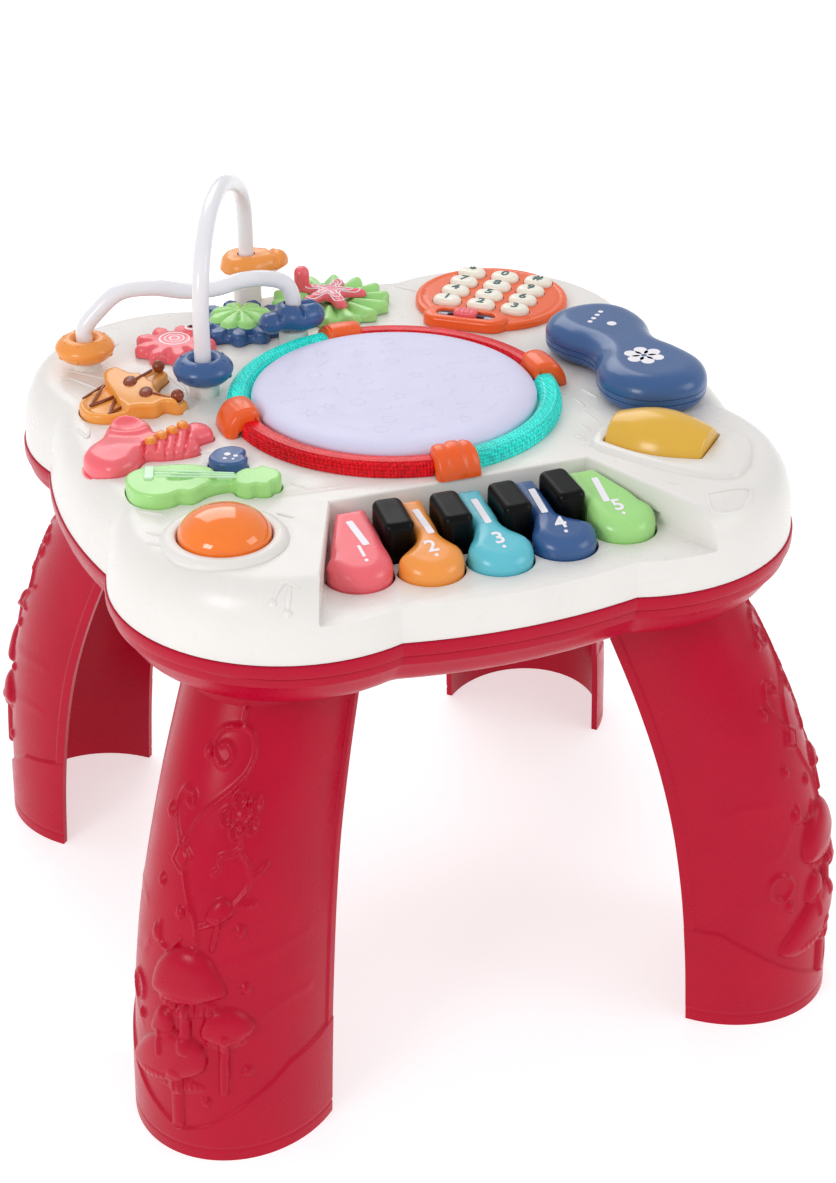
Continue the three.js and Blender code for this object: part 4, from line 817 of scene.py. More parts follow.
def leg_relief(u, z):
    """Height of the moulded relief over the plain skin, for arrays of angles and heights."""
    ground = np.interp(u, *zip(*GROUND_LINE))
    below = ease(np.clip((ground - z) / 1.4 + 0.5, 0, 1))
    lift = 1.25 * below
    lift = np.maximum(lift, 0.95 * ease(np.clip((np.abs(u) - 84.2) / 1.0, 0, 1)) * (1 - below) + lift * below)
    lift = lift - 0.45 * np.exp(-((z - 6.2) / 0.55) ** 2)
    ridge = np.zeros_like(u)
    for line, wide, high in [(v, 1.05, 1.5) for v in VINES] + [(v, 2.6, 0.3) for v in STREAKS]:
        path = np.array(spline(line, 6))
        near = np.full(u.shape, 99.0)
        box = ((u > path[:, 0].min() - 8) & (u < path[:, 0].max() + 8)
               & (z > path[:, 1].min() - 8) & (z < path[:, 1].max() + 8))
        for a, b in zip(path, path[1:]):
            near[box] = np.minimum(near[box], near_line(u[box], z[box], a, b))
        ridge = np.maximum(ridge, high * np.exp(-(near / wide) ** 2))
    for bu, bz, r in BERRIES:
        ridge = np.maximum(ridge, 1.9 * np.sqrt(np.clip(1 - ((u - bu) ** 2 + (z - bz) ** 2) / r ** 2, 0, 1)))
    middle = np.mean(PETALS, axis=0)
    for pu, pz in PETALS:
        far = np.hypot(u - pu, z - pz)
        ridge = np.maximum(ridge, 1.4 * np.exp(-((far - 3.2) / 0.9) ** 2) * (np.hypot(u - middle[0], z - middle[1]) > 2.6))
    ridge = np.maximum(ridge, 1.2 * np.exp(-((np.hypot(u - middle[0], z - middle[1])) / 2.2) ** 2))
    bud = outline_depth(u, z, BUD)
    ridge = np.maximum(ridge, 1.3 * np.exp(-(bud / 0.9) ** 2))
    ridge = np.maximum(ridge, 1.6 * ease(np.clip(bud / 2.5, 0, 1)))
    ring = np.hypot((u + 38) / 1.05, z - 78)
    ridge = np.maximum(ridge, 1.5 * np.exp(-((ring - 6.6) / 1.1) ** 2))
    lift = lift + ridge
    for (gu, gz), half, high, rise in GILLS:
        share = np.clip(1 - ((u - gu) / half) ** 2 - ((z - gz) / high) ** 2, 0, 1)
        ribs = 0.78 + 0.22 * np.cos((u - gu) * 360 / 3.2 * RAD)
        lift = np.maximum(lift, rise * ribs * np.sqrt(share))
    for outline, top, foot, half, rise in CAPS:
        plan = spline(outline, 8, True)
        stem = near_line(u, z, top, foot)
        body = (rise * 0.6) * np.sqrt(np.clip(1 - (stem / half) ** 2, 0, 1)) * (stem < half)
        lift = np.maximum(lift, body + 0.9 * lift * (body > 0))
        deep = outline_depth(u, z, plan)
        reach = max(4.5, rise * 2.3)
        crown = rise * (1 - np.clip(1 - deep / reach, 0, 1) ** 2.4) ** 0.5 * (deep > 0)
        lift = np.maximum(lift, crown + 0.45 * lift * (crown > 0))
    return lift


def outline_depth(u, z, plan):
    """Depth of points inside a closed outline; negative outside it."""
    pts = np.array(plan, dtype=float)
    nxt = np.roll(pts, -1, axis=0)
    near = np.full(u.shape, 999.0)
    inside = np.zeros(u.shape, dtype=bool)
    for (ax, ay), (bx, by) in zip(pts, nxt):
        near = np.minimum(near, near_line(u, z, (ax, ay), (bx, by)))
        if ay != by:
            hit = ((ay > z) != (by > z)) & (u < (bx - ax) * (z - ay) / (by - ay) + ax)
            inside ^= hit
    return np.where(inside, near, -near)


def leg_rows(heights):
    return np.array([leg_at(z) for z in heights])


LEG_SKIN = -2.0


def leg_grid(angles, heights, lift):
    """Grid of points [height][angle] on the skin raised by lift."""
    rows = leg_rows(heights)
    c, s = np.cos(np.radians(angles)), np.sin(np.radians(angles))
    x = rows[:, 0:1] + (rows[:, 2:3] + LEG_SKIN + lift) * c
    y = (rows[:, 1:2] + LEG_SKIN + lift) * s
    z = np.repeat(np.array(heights)[:, None], len(angles), axis=1)
    return np.stack([x, y, z], axis=2)


def leg_shape():
    angles = np.concatenate([np.linspace(-90, -82, 17), np.linspace(-81, -45, 46), np.linspace(-44.3, 44, 127),
                             np.linspace(44.8, 81, 46), np.linspace(82, 90, 17)])
    heights = np.concatenate([np.linspace(0, 214, 300)])
    u, z = np.meshgrid(angles, heights)
    outer = leg_grid(angles, heights, leg_relief(u, z))
    inner_angles = np.linspace(90, -90, 41)
    inner = leg_grid(inner_angles, heights, -2.2)
    rings = np.concatenate([outer, inner], axis=1)
    count = rings.shape[1]
    corners = [tuple(p) for p in rings.reshape(-1, 3)]
    faces = []
    for k in range(len(heights) - 1):
        base = k * count
        faces += [(base + i, base + (i + 1) % count, base + (i + 1) % count + count, base + i + count)
                  for i in range(count)]
    faces.append(tuple(range(count))[::-1])
    faces.append(tuple(range((len(heights) - 1) * count, len(heights) * count)))
    return corners, faces


def make_leg(name, node, k, shape):
    turn = Matrix.Rotation((45 + 90 * k) * RAD, 4, "Z")
    leg = make(name, moved(shape, turn), "crimson", replaces=[node], angle=50)
    flat = np.linspace(-90, 90, 25)
    plate = [(p[0], p[1]) for p in leg_grid(flat, [213], 0)[0]]
    plug = [(146 + 10.6 * unit(a)[0], 10.6 * unit(a)[1]) for a in range(0, 360, 10)]
    extras = [moved(prism(plate, 212.6, 219), turn), moved(pad(plug, [(0, 218), (0, 231), (-1, 232)]), turn)]
    carve(leg, extras, "UNION")
    finish_mesh(leg, "crimson", 50)


LEG_SHAPE = leg_shape()
for index, side in enumerate(("back_right", "back_left", "front_left", "front_right")):
    make_leg("leg_shell_" + side, "leg_" + side, index, LEG_SHAPE)


def draped(shape, surface, lift=0.0):
    """Thin print or trim laid on a surface given as its height at (x, y)."""
    return [(x, y, surface(x, y) + lift + z) for x, y, z in shape[0]], shape[1]


def text_plate(string, size, thick=0.3):
    """Plain figures as a thin plate centred on the origin, from z = 0 up."""
    curve = bpy.data.curves.new("figure", "FONT")
    curve.body = string
    curve.size = size
    curve.align_x = "CENTER"
    curve.align_y = "CENTER"
    curve.extrude = thick / 2
    curve.offset = size * 0.018
    curve.resolution_u = 4
    letter = bpy.data.objects.new("figure", curve)
    mesh = bpy.data.meshes.new_from_object(letter)
    shape = [(v.co.x, v.co.y, v.co.z + thick / 2) for v in mesh.vertices], [list(p.vertices) for p in mesh.polygons]
    bpy.data.objects.remove(letter)
    bpy.data.curves.remove(curve)
    return shape


def turned(shape, angle, x=0.0, y=0.0, z=0.0):
    return moved(shape, Matrix.Translation((x, y, z)) @ Matrix.Rotation(angle * RAD, 4, "Z"))


def plate(outline, thick=0.3):
    return prism(outline, 0, thick)


def dome(x, y, z, radius, high, steps=20, rows=6, squash=1.0, turn=0.0):
    """Low round boss standing on z."""
    rings = [(radius, -0.4)] + [(radius * unit(90 * k / rows)[0], high * unit(90 * k / rows)[1]) for k in range(rows)]
    shape = revolve([(0, -0.4)] + rings + [(0, high)], steps)
    shape = ([(px, py * squash, pz) for px, py, pz in shape[0]], shape[1])
    return turned(shape, turn, x, y, z)


def ball(x, y, z, radius, rows=10, steps=18):
    profile = [(radius * unit(-90 + 180 * k / rows)[0], z + radius * unit(-90 + 180 * k / rows)[1])
               for k in range(rows + 1)]
    profile[0] = (0, z - radius)
    profile[-1] = (0, z + radius)
    return revolve(profile, steps, x, y)


# Piano keys with printed bars, figures and dots
def make_keys():
    for number, (name, look, head, left, right) in enumerate(KEYS, 1):
        outline = key_outline(head, left, right)

        def top(x, y, d):
            soft = 3.4 + 3.0 * np.clip((KEY_NECK + 4 - y) / 12, 0, 1)
            share = np.clip(d / soft, 0, 1)
            return key_height(x, y) - soft * 0.95 * (1 - np.sqrt(np.clip(1 - (1 - share) ** 2, 0, 1)))
        shape = slab(outline, KEY_LOW, top, 1.25, edge_rings(6.0, 8))
        arm = prism([(left[0] + 1, -95), (right[0] - 1, -95), (right[0] - 1, -79.4), (left[0] + 1, -79.4)], KEY_LOW, 259.4)
        key = make("keycap_" + name[4:], shape, look, name, [name], 40)
        carve(key, [arm], "UNION")
        carve(key, [along_x(left[0] - 1, right[0] + 1, -84, 256, 2.35)])
        finish_mesh(key, look, 40)
        middle = (left[0] + right[0] + left[1] + right[1]) / 4
        lean = head[0] * 0.0016
        bar = [(middle + x + lean * y, KEY_BACK - 17.5 + y) for x, y in rounded_box(3.2, 18, 0.7, 4)]
        marks = [draped(plate(bar), key_height, -0.03)]
        spot = (head[0] * 0.97, head[1] + 3.4)
        marks.append(draped(turned(text_plate(str(number), 11), 0, spot[0], spot[1] - 1.8), key_height, -0.03))
        marks.append(draped(plate(circle(spot[0], spot[1] - 8, 0.9, 16)), key_height, -0.03))
        make("print_" + name[4:], joined(*marks), "print_white", name, angle=30)


def along_x(x0, x1, y, z, r, steps=24):
    spin = Matrix.Translation((0, y, z)) @ Matrix.Rotation(90 * RAD, 4, "Y")
    return moved(prism(circle(0, 0, r, steps), x0, x1), spin)


make_keys()


def make_sharps():
    pieces = []
    for x, y, turn in SHARPS:
        def top(px, py, d):
            share = np.clip(d / 2.6, 0, 1)
            return 283.6 + (py + 99) * 0.1 - 2.9 * (1 - np.sqrt(np.clip(1 - (1 - share) ** 2, 0, 1)))
        pieces.append(slab(sharp_plan(x, y, turn), 249.4, top, 1.0, edge_rings(2.6, 6)))
    bar = make("sharp_bar", joined(*pieces), "black", TABLE, ["black_key_bar"], 40)
    ends = []
    for side in (-1, 1):
        x0, x1 = sorted((side * 72, side * 69))
        ends.append(prism([(x0, -105), (x1, -105), (x1, -78.65), (x0, -78.65)], 244.5, 260))
        ends.append(prism([(x0, -118), (x1, -118), (x1, -102), (x0, -102)], 222.5, 249.6))
    base = prism([(-72, -118), (72, -118), (72, -102), (-72, -102)], 244.5, 249.6)
    carve(bar, [base] + ends, "UNION")
    carve(bar, [along_x(-73, 73, -84, 256, 2.35)])
    finish_mesh(bar, "black", 40)


make_sharps()


# Drum head in its light ring
def make_drum():
    profile = [(0, 284), (59.5, 284), (59.5, 271), (62, 271), (62, 284), (68, 284), (68.6, 284.6)]
    profile += [(58 + 10.6 * unit(a)[0], 286.6 + 4.9 * unit(a)[1]) for a in range(0, 90, 9)]
    profile += [(r, 291.5) for r in (56, 48, 36, 20)] + [(0, 291.5)]
    make("drum_skin", revolve(profile, 128), "milk", "drum_head", ["drum_head"], 40)
    marks = []
    draw = np.random.default_rng(7)
    lines = []
    for ring, count in ((14, 6), (27, 10), (40, 14), (51, 17)):
        for k in range(count):
            angle = 360 * (k + 0.3 * draw.random()) / count + ring
            x, y = ring * unit(angle)[0], ring * unit(angle)[1]
            kind = (k + ring) % 4
            if kind == 0:
                lines.append([(x + 3.4 * unit(angle + t)[0], y + 3.4 * unit(angle + t)[1]) for t in range(0, 361, 24)])
            elif kind == 1:
                lines.append([(x + t, y + 1.3 * math.sin(t * 1.2)) for t in np.linspace(-6, 6, 19)])
            elif kind == 2:
                lines.append([(x + 4.2 * unit(90 + 36 * t)[0] * (1 if t % 2 == 0 else 0.45),
                               y + 4.2 * unit(90 + 36 * t)[1] * (1 if t % 2 == 0 else 0.45)) for t in range(11)])
            else:
                lines.append([((ring + 2) * unit(angle + t)[0], (ring + 2) * unit(angle + t)[1])
                              for t in np.linspace(-7, 7, 9)])
    for line in lines:
        marks.append(sweep([(x, y, 291.36) for x, y in line], 0.75, 8, 0.36))
    make("drum_relief", joined(*marks), "milk", "drum_head", angle=60)


def ring_quarter(name, look, start, beaded):
    """Lit tube between two claws: a fine grid of beads, with smooth bands along its length."""
    low, high = start + 7.3, start + 82.7
    steps, rows = 420, 48
    corners, faces = [], []
    for i in range(steps + 1):
        c, s = unit(low + (high - low) * i / steps)
        for k in range(rows + 1):
            t = 180 * k / rows
            bead = 0.6 * abs(math.sin(i * math.pi / 6)) * abs(math.sin((k + (i // 6) % 2) * math.pi / 3))
            band = math.exp(-((t - 62) / 9) ** 2) + 0.8 * math.exp(-((t - 118) / 9) ** 2)
            smooth = min(1.0, band + (0 if beaded else float(ease(np.clip((t - 48) / 10, 0, 1)))))
            swell = bead * (1 - smooth) + 0.42 * min(1.0, band)
            x = 75 + (5.1 + swell) * math.copysign(abs(unit(t)[0]) ** 0.75, unit(t)[0])
            z = 281.9 + (6.7 + swell) * abs(unit(t)[1]) ** 0.75
            corners.append((x * c, x * s, z))
        corners.append((69.6 * c, 69.6 * s, 281.35))
        corners.append((80.4 * c, 80.4 * s, 281.35))
    row = rows + 3
    for i in range(steps):
        a, b = i * row, (i + 1) * row
        for k in range(row):
            m = (k + 1) % row
            faces.append([a + k, b + k, b + m, a + m])
    faces.append(list(range(row)))
    faces.append([steps * row + k for k in range(row)][::-1])
    make(name, (corners, faces), look, TABLE, ["light_ring"], 60)


CLAW_ARCH = [(69.5, 0), (69.6, 2.4), (70.4, 4.1), (72.2, 5.2), (75, 5.7), (78.5, 5.4), (81.6, 4.1), (84.1, 1.6),
             (86, -1.6), (87.1, -4.6), (87.5, -7.2)]


def make_clip(name, node, angle, top, ribbed):
    """Claw over the ring: a broad arch that falls outwards, wider at its foot."""
    path = [(r, top - 5.7 + h) if h > 0 else (r, 288.7 + h) for r, h in CLAW_ARCH]
    path = spline([(r, z) for r, z in path], 5)
    count = len(path)
    columns = 48
    corners, faces = [], []

    def wide(share):
        return 9.6 + 1.0 * float(ease(np.clip(share * 1.6 - 0.2, 0, 1)))
    for i, (r, z) in enumerate(path):
        before, after = path[max(0, i - 1)], path[min(count - 1, i + 1)]
        tangent = np.array(after) - np.array(before)
        tangent /= np.linalg.norm(tangent)
        normal = np.array((-tangent[1], tangent[0]))
        share = i / (count - 1)
        fade = min(1, 5 * share + 0.4, 3 * (1 - share))
        for k in range(columns + 1):
            u = -1 + 2 * k / columns
            if ribbed:
                lift = (0.9 * math.exp(-((u - 0.05) / 0.27) ** 4) + 0.5 * math.exp(-((u - 0.6) / 0.14) ** 2)
                        + 0.45 * math.exp(-((u + 0.58) / 0.16) ** 2) - 0.9) * fade
            else:
                lift = -0.9 * u ** 2 - 0.55 * math.exp(-((u - 0.74) / 0.05) ** 2) * fade
            lift -= 2.4 * max(0, (abs(u) - 0.8) / 0.2) ** 2.2
            p = np.array((r, z)) + normal * lift
            corners.append((p[0], u * wide(share), p[1]))
    top_count = len(corners)
    under = spline([(69.5, 286.4), (81, 283.7), (82.2, 281.5)], 6)
    for i in range(count):
        t = i / (count - 1) * (len(under) - 1)
        j = min(int(t), len(under) - 2)
        p = np.array(under[j]) * (1 - t + j) + np.array(under[j + 1]) * (t - j)
        for k in range(columns + 1):
            corners.append((p[0], (-1 + 2 * k / columns) * wide(i / (count - 1)), p[1]))
    row = columns + 1
    for i in range(count - 1):
        for k in range(columns):
            a = i * row + k
            faces.append([a, a + 1, a + row + 1, a + row])
            b = top_count + a
            faces.append([b, b + row, b + row + 1, b + 1])
        for k, back in ((0, False), (columns, True)):
            a = i * row + k
            quad = [a, a + row, top_count + a + row, top_count + a]
            faces.append(quad if not back else quad[::-1])
    for k in range(columns):
        faces.append([k, top_count + k, top_count + k + 1, k + 1])
        a = (count - 1) * row + k
        faces.append([a, a + 1, top_count + a + 1, top_count + a])
    make(name, turned((corners, faces), angle), "clip_orange", TABLE, [node], 50)


make_drum()
ring_quarter("ring_red_front", "ring", 180, False)
ring_quarter("ring_turquoise_front", "ring_turquoise", 270, True)
ring_quarter("ring_turquoise_back", "ring_turquoise", 90, True)
ring_quarter("ring_red_back", "ring", 0, False)
for index, (side, crown, ribbed) in enumerate((("right", 294.4, False), ("back", 292.4, False), ("left", 294.4, False),
                                               ("front", 294.4, True))):
    make_clip("claw_" + side, "ring_clip_" + side, 90 * index, crown, ribbed)


# Press buttons on the left of the panel
def toy_button(name, node, outline, look, top, step=0.9, soft=1.6):
    flange = pad(outline, [(0.9, 275), (0.9, 277.8)])
    piece = make(name, slab(outline, 276.5, top, step, edge_rings(soft, 5)), look, node, [node], 42)
    carve(piece, [flange], "UNION")
    finish_mesh(piece, look, 42)
    return piece


def make_guitar():
    body_end, head_start = (-103.5, -54.2), (-99.5, -60.5)

    def top(x, y, d):
        along = (x + 140) * 0.93 - (y + 44) * 0.37
        high = 287.8 - 2.2 * ease(np.clip((along - 33) / 4, 0, 1)) + 2.2 * ease(np.clip((along - 43) / 3, 0, 1))
        hollow = np.hypot((x + 119) / 7.5, (y + 51.5) / 3.4)
        high = high - 0.8 * ease(np.clip((1.15 - hollow) / 0.3, 0, 1))
        return high - rounded(d, 1.6)
    toy_button("guitar", "guitar_button", GUITAR, "leaf", top)
    trim = []
    for k in (-1, 0, 1):
        start = (-131.5 - 0.7 * k, -44.3 + 3.4 * k)
        end = (-97.5, -59.2 + 2.1 * k)
        trim.append(sweep([(start[0] + (end[0] - start[0]) * t, start[1] + (end[1] - start[1]) * t, 287.75)
                           for t in np.linspace(0, 1, 8)], 0.5, 8))
    make("guitar_strings", joined(*trim), "pale_leaf", "guitar_button", angle=60)
    bridge = place(rounded_box(4.4, 12, 1, 5), -133.2, -44, -18)
    make("guitar_bridge", pad(bridge, [(0, 287.2), (0, 288.3), (-0.3, 288.7), (-0.8, 288.8)]), "pale_leaf",
         "guitar_button", angle=40)


VALVES = [(-124, -13), (-118, -9.4), (-112, -6), (-106, -2.6)]


def make_trumpet():
    def top(x, y, d):
        high = 287.4 - rounded(d, 5.2, 5.2)
        bell = np.hypot(x + 139, y + 13)
        high = high + 1.6 * np.exp(-(bell / 9) ** 2)
        loop = np.hypot((x + 129) / 1.1, y - 8)
        high = high + 1.5 * np.exp(-((loop - 8.6) / 2.1) ** 2) - 1.7 * np.exp(-(loop / 5.2) ** 2)
        reaches = (9, 11, 14, 18)
        columns = [near_line(x, y, (vx - 0.36 * reach, vy - 0.93 * reach), (vx, vy))
                   for (vx, vy), reach in zip(VALVES, reaches)]
        high = high - 2.6 * ease(np.clip((4.4 - np.minimum.reduce(columns)) / 1.6, 0, 1))
        for near, (vx, vy), reach in zip(columns, VALVES, reaches):
            column = 288.4 - 2.2 * np.clip((vy - y) / reach, 0, 1) - 1.6 * (near / 2) ** 2
            high = np.where(near < 2.3, np.maximum(high, column - rounded(d, 1.4)), high)
        return high
    toy_button("trumpet", "trumpet_button", TRUMPET, "coral", top, 0.8, 4.0)
    caps = [pad(place(rounded_box(4.6, 4, 1, 4), x, y, 30), [(0, 287.2), (0, 289.6), (-0.3, 290.1), (-0.9, 290.4)])
            for x, y in VALVES]
    make("trumpet_valves", joined(*caps), "orange", "trumpet_button", angle=40)


def make_drum_toy():
    axis_a, axis_b = (-121, 66), (-112, 28)

    def top(x, y, d):
        skin = near_line(x, y, axis_a, axis_b)
        plateau = ease(np.clip((13 - skin) / 2.2, 0, 1)) * (x > -126)
        high = 285.4 + 2.6 * plateau - rounded(d, 1.8)
        side = ease(np.clip((d - 1.5) / 2, 0, 1)) * (1 - plateau)
        return high - 0.9 * side
    toy_button("toy_drum", "drum_button", DRUM_TOY, "amber", top, 0.9, 1.8)
    zigzag = [(-140.5, 49.5), (-127.5, 61), (-139.2, 40.5), (-124.5, 47.5), (-133, 28.6), (-122, 37), (-122.5, 28.5)]
    cords = []
    for a, b in zip(zigzag, zigzag[1:]):
        line = [(a[0] + (b[0] - a[0]) * t, a[1] + (b[1] - a[1]) * t, 285.2) for t in np.linspace(0, 1, 6)]
        cords.append(sweep(line, 0.75, 8))
    for (x0, y0), (x1, y1) in (((-115.5, 53.8), (-102.5, 64.5)), ((-112, 40.5), (-102.8, 30.8))):
        line = [(x0 + (x1 - x0) * t, y0 + (y1 - y0) * t, 288.3 - 0.6 * t) for t in np.linspace(0, 1, 6)]
        cords.append(sweep(line, 0.8, 8))
    for x, y in ((-115.9, 54.7), (-111.9, 39.9)):
        cords.append(dome(x, y, 287.6, 5.6, 2.6, 28, 6, 0.62, 70))
    for x, y in ((-98.4, 67), (-99, 30.6)):
        cords.append(ball(x, y, 288.2, 3.2))
    make("toy_drum_cords", joined(*cords), "brown", "drum_button", angle=45)


def make_shell():
    def top(x, y, d):
        groove = np.exp(-((y + 33 + 0.25 * (x + 94)) / 0.55) ** 2) * np.clip((x + 89) / 2, 0, 1)
        return 285.6 - rounded(d, 1.7) - 0.7 * groove
    toy_button("shell", "shell_button", SHELL, "denim", top, 0.8, 1.7)
    marks = [draped(plate(circle(x, y, r, 20), 0.25), lambda x, y: 285.57)
             for x, y, r in ((-93.6, -33.4, 1.5), (-90.6, -36.4, 1.1), (-96, -37.2, 0.9), (-92.6, -39, 0.7))]
    make("shell_dots", joined(*marks), "print_white", "shell_button", angle=40)


def make_dome():
    x, y = DOME_AT
    profile = [(0, 275), (22.4, 275), (22.4, 277.8), (20.4, 277.8), (20.4, 283)]
    profile += [(20.4 * unit(a)[0], 283 + 12.6 * unit(a)[1]) for a in range(6, 90, 6)] + [(0, 295.6)]
    make("dome", revolve(profile, 96, x, y), "dome_orange", "dome_button", ["dome_button"], 30)


make_panel_relief()
make_guitar()
make_trumpet()
make_drum_toy()
make_shell()
make_dome()


# Gear train
GEAR_LOW, GEAR_HIGH = 281.6, 287


def bearing(a, b):
    return math.atan2(b[1] - a[1], b[0] - a[0]) / RAD


def gear_phases():
    pink, blue, green = (GEARS[n] for n in ("pink_gear", "blue_gear", "green_gear"))
    phase = {"blue_gear": bearing(blue, pink) + 180 / blue[3], "pink_gear": bearing(pink, blue)}
    to_green = bearing(blue, green)
    share = ((to_green - phase["blue_gear"]) / (360 / blue[3])) % 1
    phase["green_gear"] = bearing(green, blue) + 360 / green[3] * (share - 0.5)
    return phase


PHASES = gear_phases()


def gear_plan(name, shrink=0.0, steps_per_tooth=24):
    cx, cy, pitch, teeth = GEARS[name]
    steps = teeth * steps_per_tooth
    plan = []
    for i in range(steps):
        angle = 360 * i / steps
        r = pitch + 1.9 * unit((angle - PHASES[name]) * teeth)[0] - shrink
        plan.append((cx + r * unit(angle)[0], cy + r * unit(angle)[1]))
    return plan


def make_gear(name, node, look, top, step=1.0, soft=1.5):
    cx, cy, pitch, teeth = GEARS[node]
    shape = slab(gear_plan(node), GEAR_LOW, top, step, edge_rings(soft, 5))
    piece = make(name, shape, look, node, [node], 42)
    carve(piece, [prism(circle(cx, cy, 3.7, 24), GEAR_LOW - 1, 285.4)])
    finish_mesh(piece, look, 42)


def make_pink_gear():
    cx, cy, pitch, teeth = GEARS["pink_gear"]

    def top(x, y, d):
        r = np.hypot(x - cx, y - cy)
        angle = np.degrees(np.arctan2(y - cy, x - cx))
        lobes = np.cos((angle - PHASES["pink_gear"]) * teeth * RAD)
        groove = ease(np.clip((-lobes - 0.1) / 0.75, 0, 1)) * np.clip((r - 10.5) / 4, 0, 1)
        return 287.4 - rounded(d, 3.2) - 2.1 * groove + 0.9 * np.exp(-(r / 10) ** 4)
    make_gear("pink_cog", "pink_gear", "coral", top, 0.9, 2.2)
    prints = []
    for radius in (7.4, 4.8, 2.4):
        prints.append(sweep([(cx + radius * unit(a)[0], cy + radius * unit(a)[1], 288.15 - 0.004 * radius ** 2) for a in range(0, 361, 12)],
                            0.6, 8, 0.4))
    make("pink_cog_rings", joined(*prints), "print_white", "pink_gear", angle=50)
    ex, ey = cx + 12.2 * unit(30)[0], cy + 12.2 * unit(30)[1]
    make("pink_cog_boss", dome(ex, ey, 286.4, 4.8, 4.4, 28), "coral", "pink_gear", angle=50)
    make("pink_cog_boss_ring", sweep([(ex + 2.7 * unit(a)[0], ey + 2.7 * unit(a)[1], 290.0)
                                      for a in range(0, 361, 15)], 0.6, 8, 0.7), "print_white", "pink_gear", angle=50)
    make("pink_cog_boss_dot", dome(ex, ey, 290.4, 1.6, 0.7, 20), "black", "pink_gear", angle=50)


def make_blue_gear():
    cx, cy, pitch, teeth = GEARS["blue_gear"]

    def top(x, y, d):
        r = np.hypot(x - cx, y - cy)
        angle = np.degrees(np.arctan2(y - cy, x - cx))
        tooth = np.cos((angle - PHASES["blue_gear"]) * teeth * RAD)
        gap = ease(np.clip((-tooth - 0.2) / 0.35, 0, 1)) * np.clip((r - 16.5) / 1.5, 0, 1)
        return 287.6 - rounded(d, 2.4) - 2.6 * gap
    make_gear("blue_cog", "blue_gear", "denim", top, 0.9, 1.8)
    petals = 8
    plan = []
    for i in range(petals * 20):
        angle = 360 * i / (petals * 20)
        r = 16.8 - 3.0 * (1 - abs(unit(angle * petals / 2)[0])) ** 1.3
        plan.append((cx + r * unit(angle)[0], cy + r * unit(angle)[1]))

    def petal_top(x, y, d):
        r = np.hypot(x - cx, y - cy)
        angle = np.degrees(np.arctan2(y - cy, x - cx))
        valley = np.abs(np.cos(angle * petals / 2 * RAD))
        crown = 5.2 * np.sqrt(np.clip(1 - (r / 18) ** 2, 0, 1))
        crease = 2.0 * (1 - valley) ** 2.5 * np.clip((r - 1) / 6, 0, 1) ** 0.7
        return 286.6 + crown - crease - rounded(d, 2.4)
    make("petal_cap", slab(plan, 287.3, lambda x, y, d: np.maximum(petal_top(x, y, d), 287.5), 0.7, edge_rings(1.3, 4)),
         "leaf", "blue_gear", ["flower_cap"], 50)


def make_green_gear():
    cx, cy, pitch, teeth = GEARS["green_gear"]

    def top(x, y, d):
        r = np.hypot(x - cx, y - cy)
        angle = np.degrees(np.arctan2(y - cy, x - cx))
        finger = np.cos((angle - PHASES["green_gear"]) * teeth * RAD)
        ribs = (0.5 + 0.5 * finger) ** 0.6 * np.clip((r - 8) / 5, 0, 1)
        return 283.9 + 3.6 * ribs - rounded(d, 2.4)
    make_gear("green_cog", "green_gear", "leaf", top, 0.9, 2.0)
    reach, waist, lean = 19, 7.6, 128

    def star_outline(shrink):
        corners = []
        for i in range(5):
            for turn, r in ((-9, reach - 1.4 - shrink), (0, reach - shrink), (9, reach - 1.4 - shrink),
                            (36, waist - shrink * 0.55)):
                c, s = unit(72 * i + lean + turn * min(1, reach / max(1, r)))
                corners.append((cx + r * c, cy + r * s))
        return spline(corners, 5, True)

    def arm_top(x, y, d):
        r = np.hypot(x - cx, y - cy)
        return 291.6 - 1.3 * (r / reach) ** 2 - rounded(d, 3.4, 3.0)
    star = make("star", slab(star_outline(0), 287.3, arm_top, 0.8, edge_rings(3.4, 6)), "coral", "green_gear",
                ["star_cap"], 50)
    tx, ty = cx + (reach - 1) * unit(lean)[0], cy + (reach - 1) * unit(lean)[1]
    knob = revolve([(0, 287.4), (3.9, 287.4), (4.1, 291), (4.1, 296), (3.7, 298), (2.4, 299.5), (0, 300)], 32, tx, ty)
    carve(star, [knob], "UNION")
    finish_mesh(star, "coral", 50)
    edge = resample(star_outline(0), 1.0)
    lines = []
    for inset, shrink in ((1.7, 3.4), (3.2, 7.4), (4.3, 10.6)):
        ring = resample(star_outline(shrink), 0.8)
        depth = depth_in(ring, edge)
        path = [(x, y, float(arm_top(x, y, max(0.0, d))) + 0.02) for (x, y), d in zip(ring, depth)]
        lines.append(sweep(path + path[:2], 0.34, 6, 0.6))
    make("star_lines", joined(*lines), "print_white", "green_gear", angle=60)


make_pink_gear()
make_blue_gear()
make_green_gear()


# Bead wires and beads
WIRE_LOW = [
    (-128, 95, 277), (-128, 95, 286), (-128, 95, 295), (-127.6, 95, 301), (-121, 94.8, 309), (-109, 94.4, 318),
    (-93, 94, 318.4), (-75, 94, 314), (-59, 93.5, 313.6), (-47, 92.4, 316.2), (-34.5, 89.4, 316.6), (-25.9, 87, 313.6),
    (-22.5, 86, 306), (-22.5, 86, 295), (-22.5, 86, 286), (-22.5, 86, 277)]
WIRE_TALL = [
    (-82, 44, 277), (-82, 44, 290), (-82, 44, 305), (-82, 44, 320), (-80.5, 47, 336), (-76, 56, 350), (-67, 74, 361),
    (-55, 97, 364), (-43.5, 119, 358), (-33, 139, 347), (-28, 148, 334), (-27, 150, 318), (-27, 150, 302),
    (-27, 150, 286), (-27, 150, 268)]


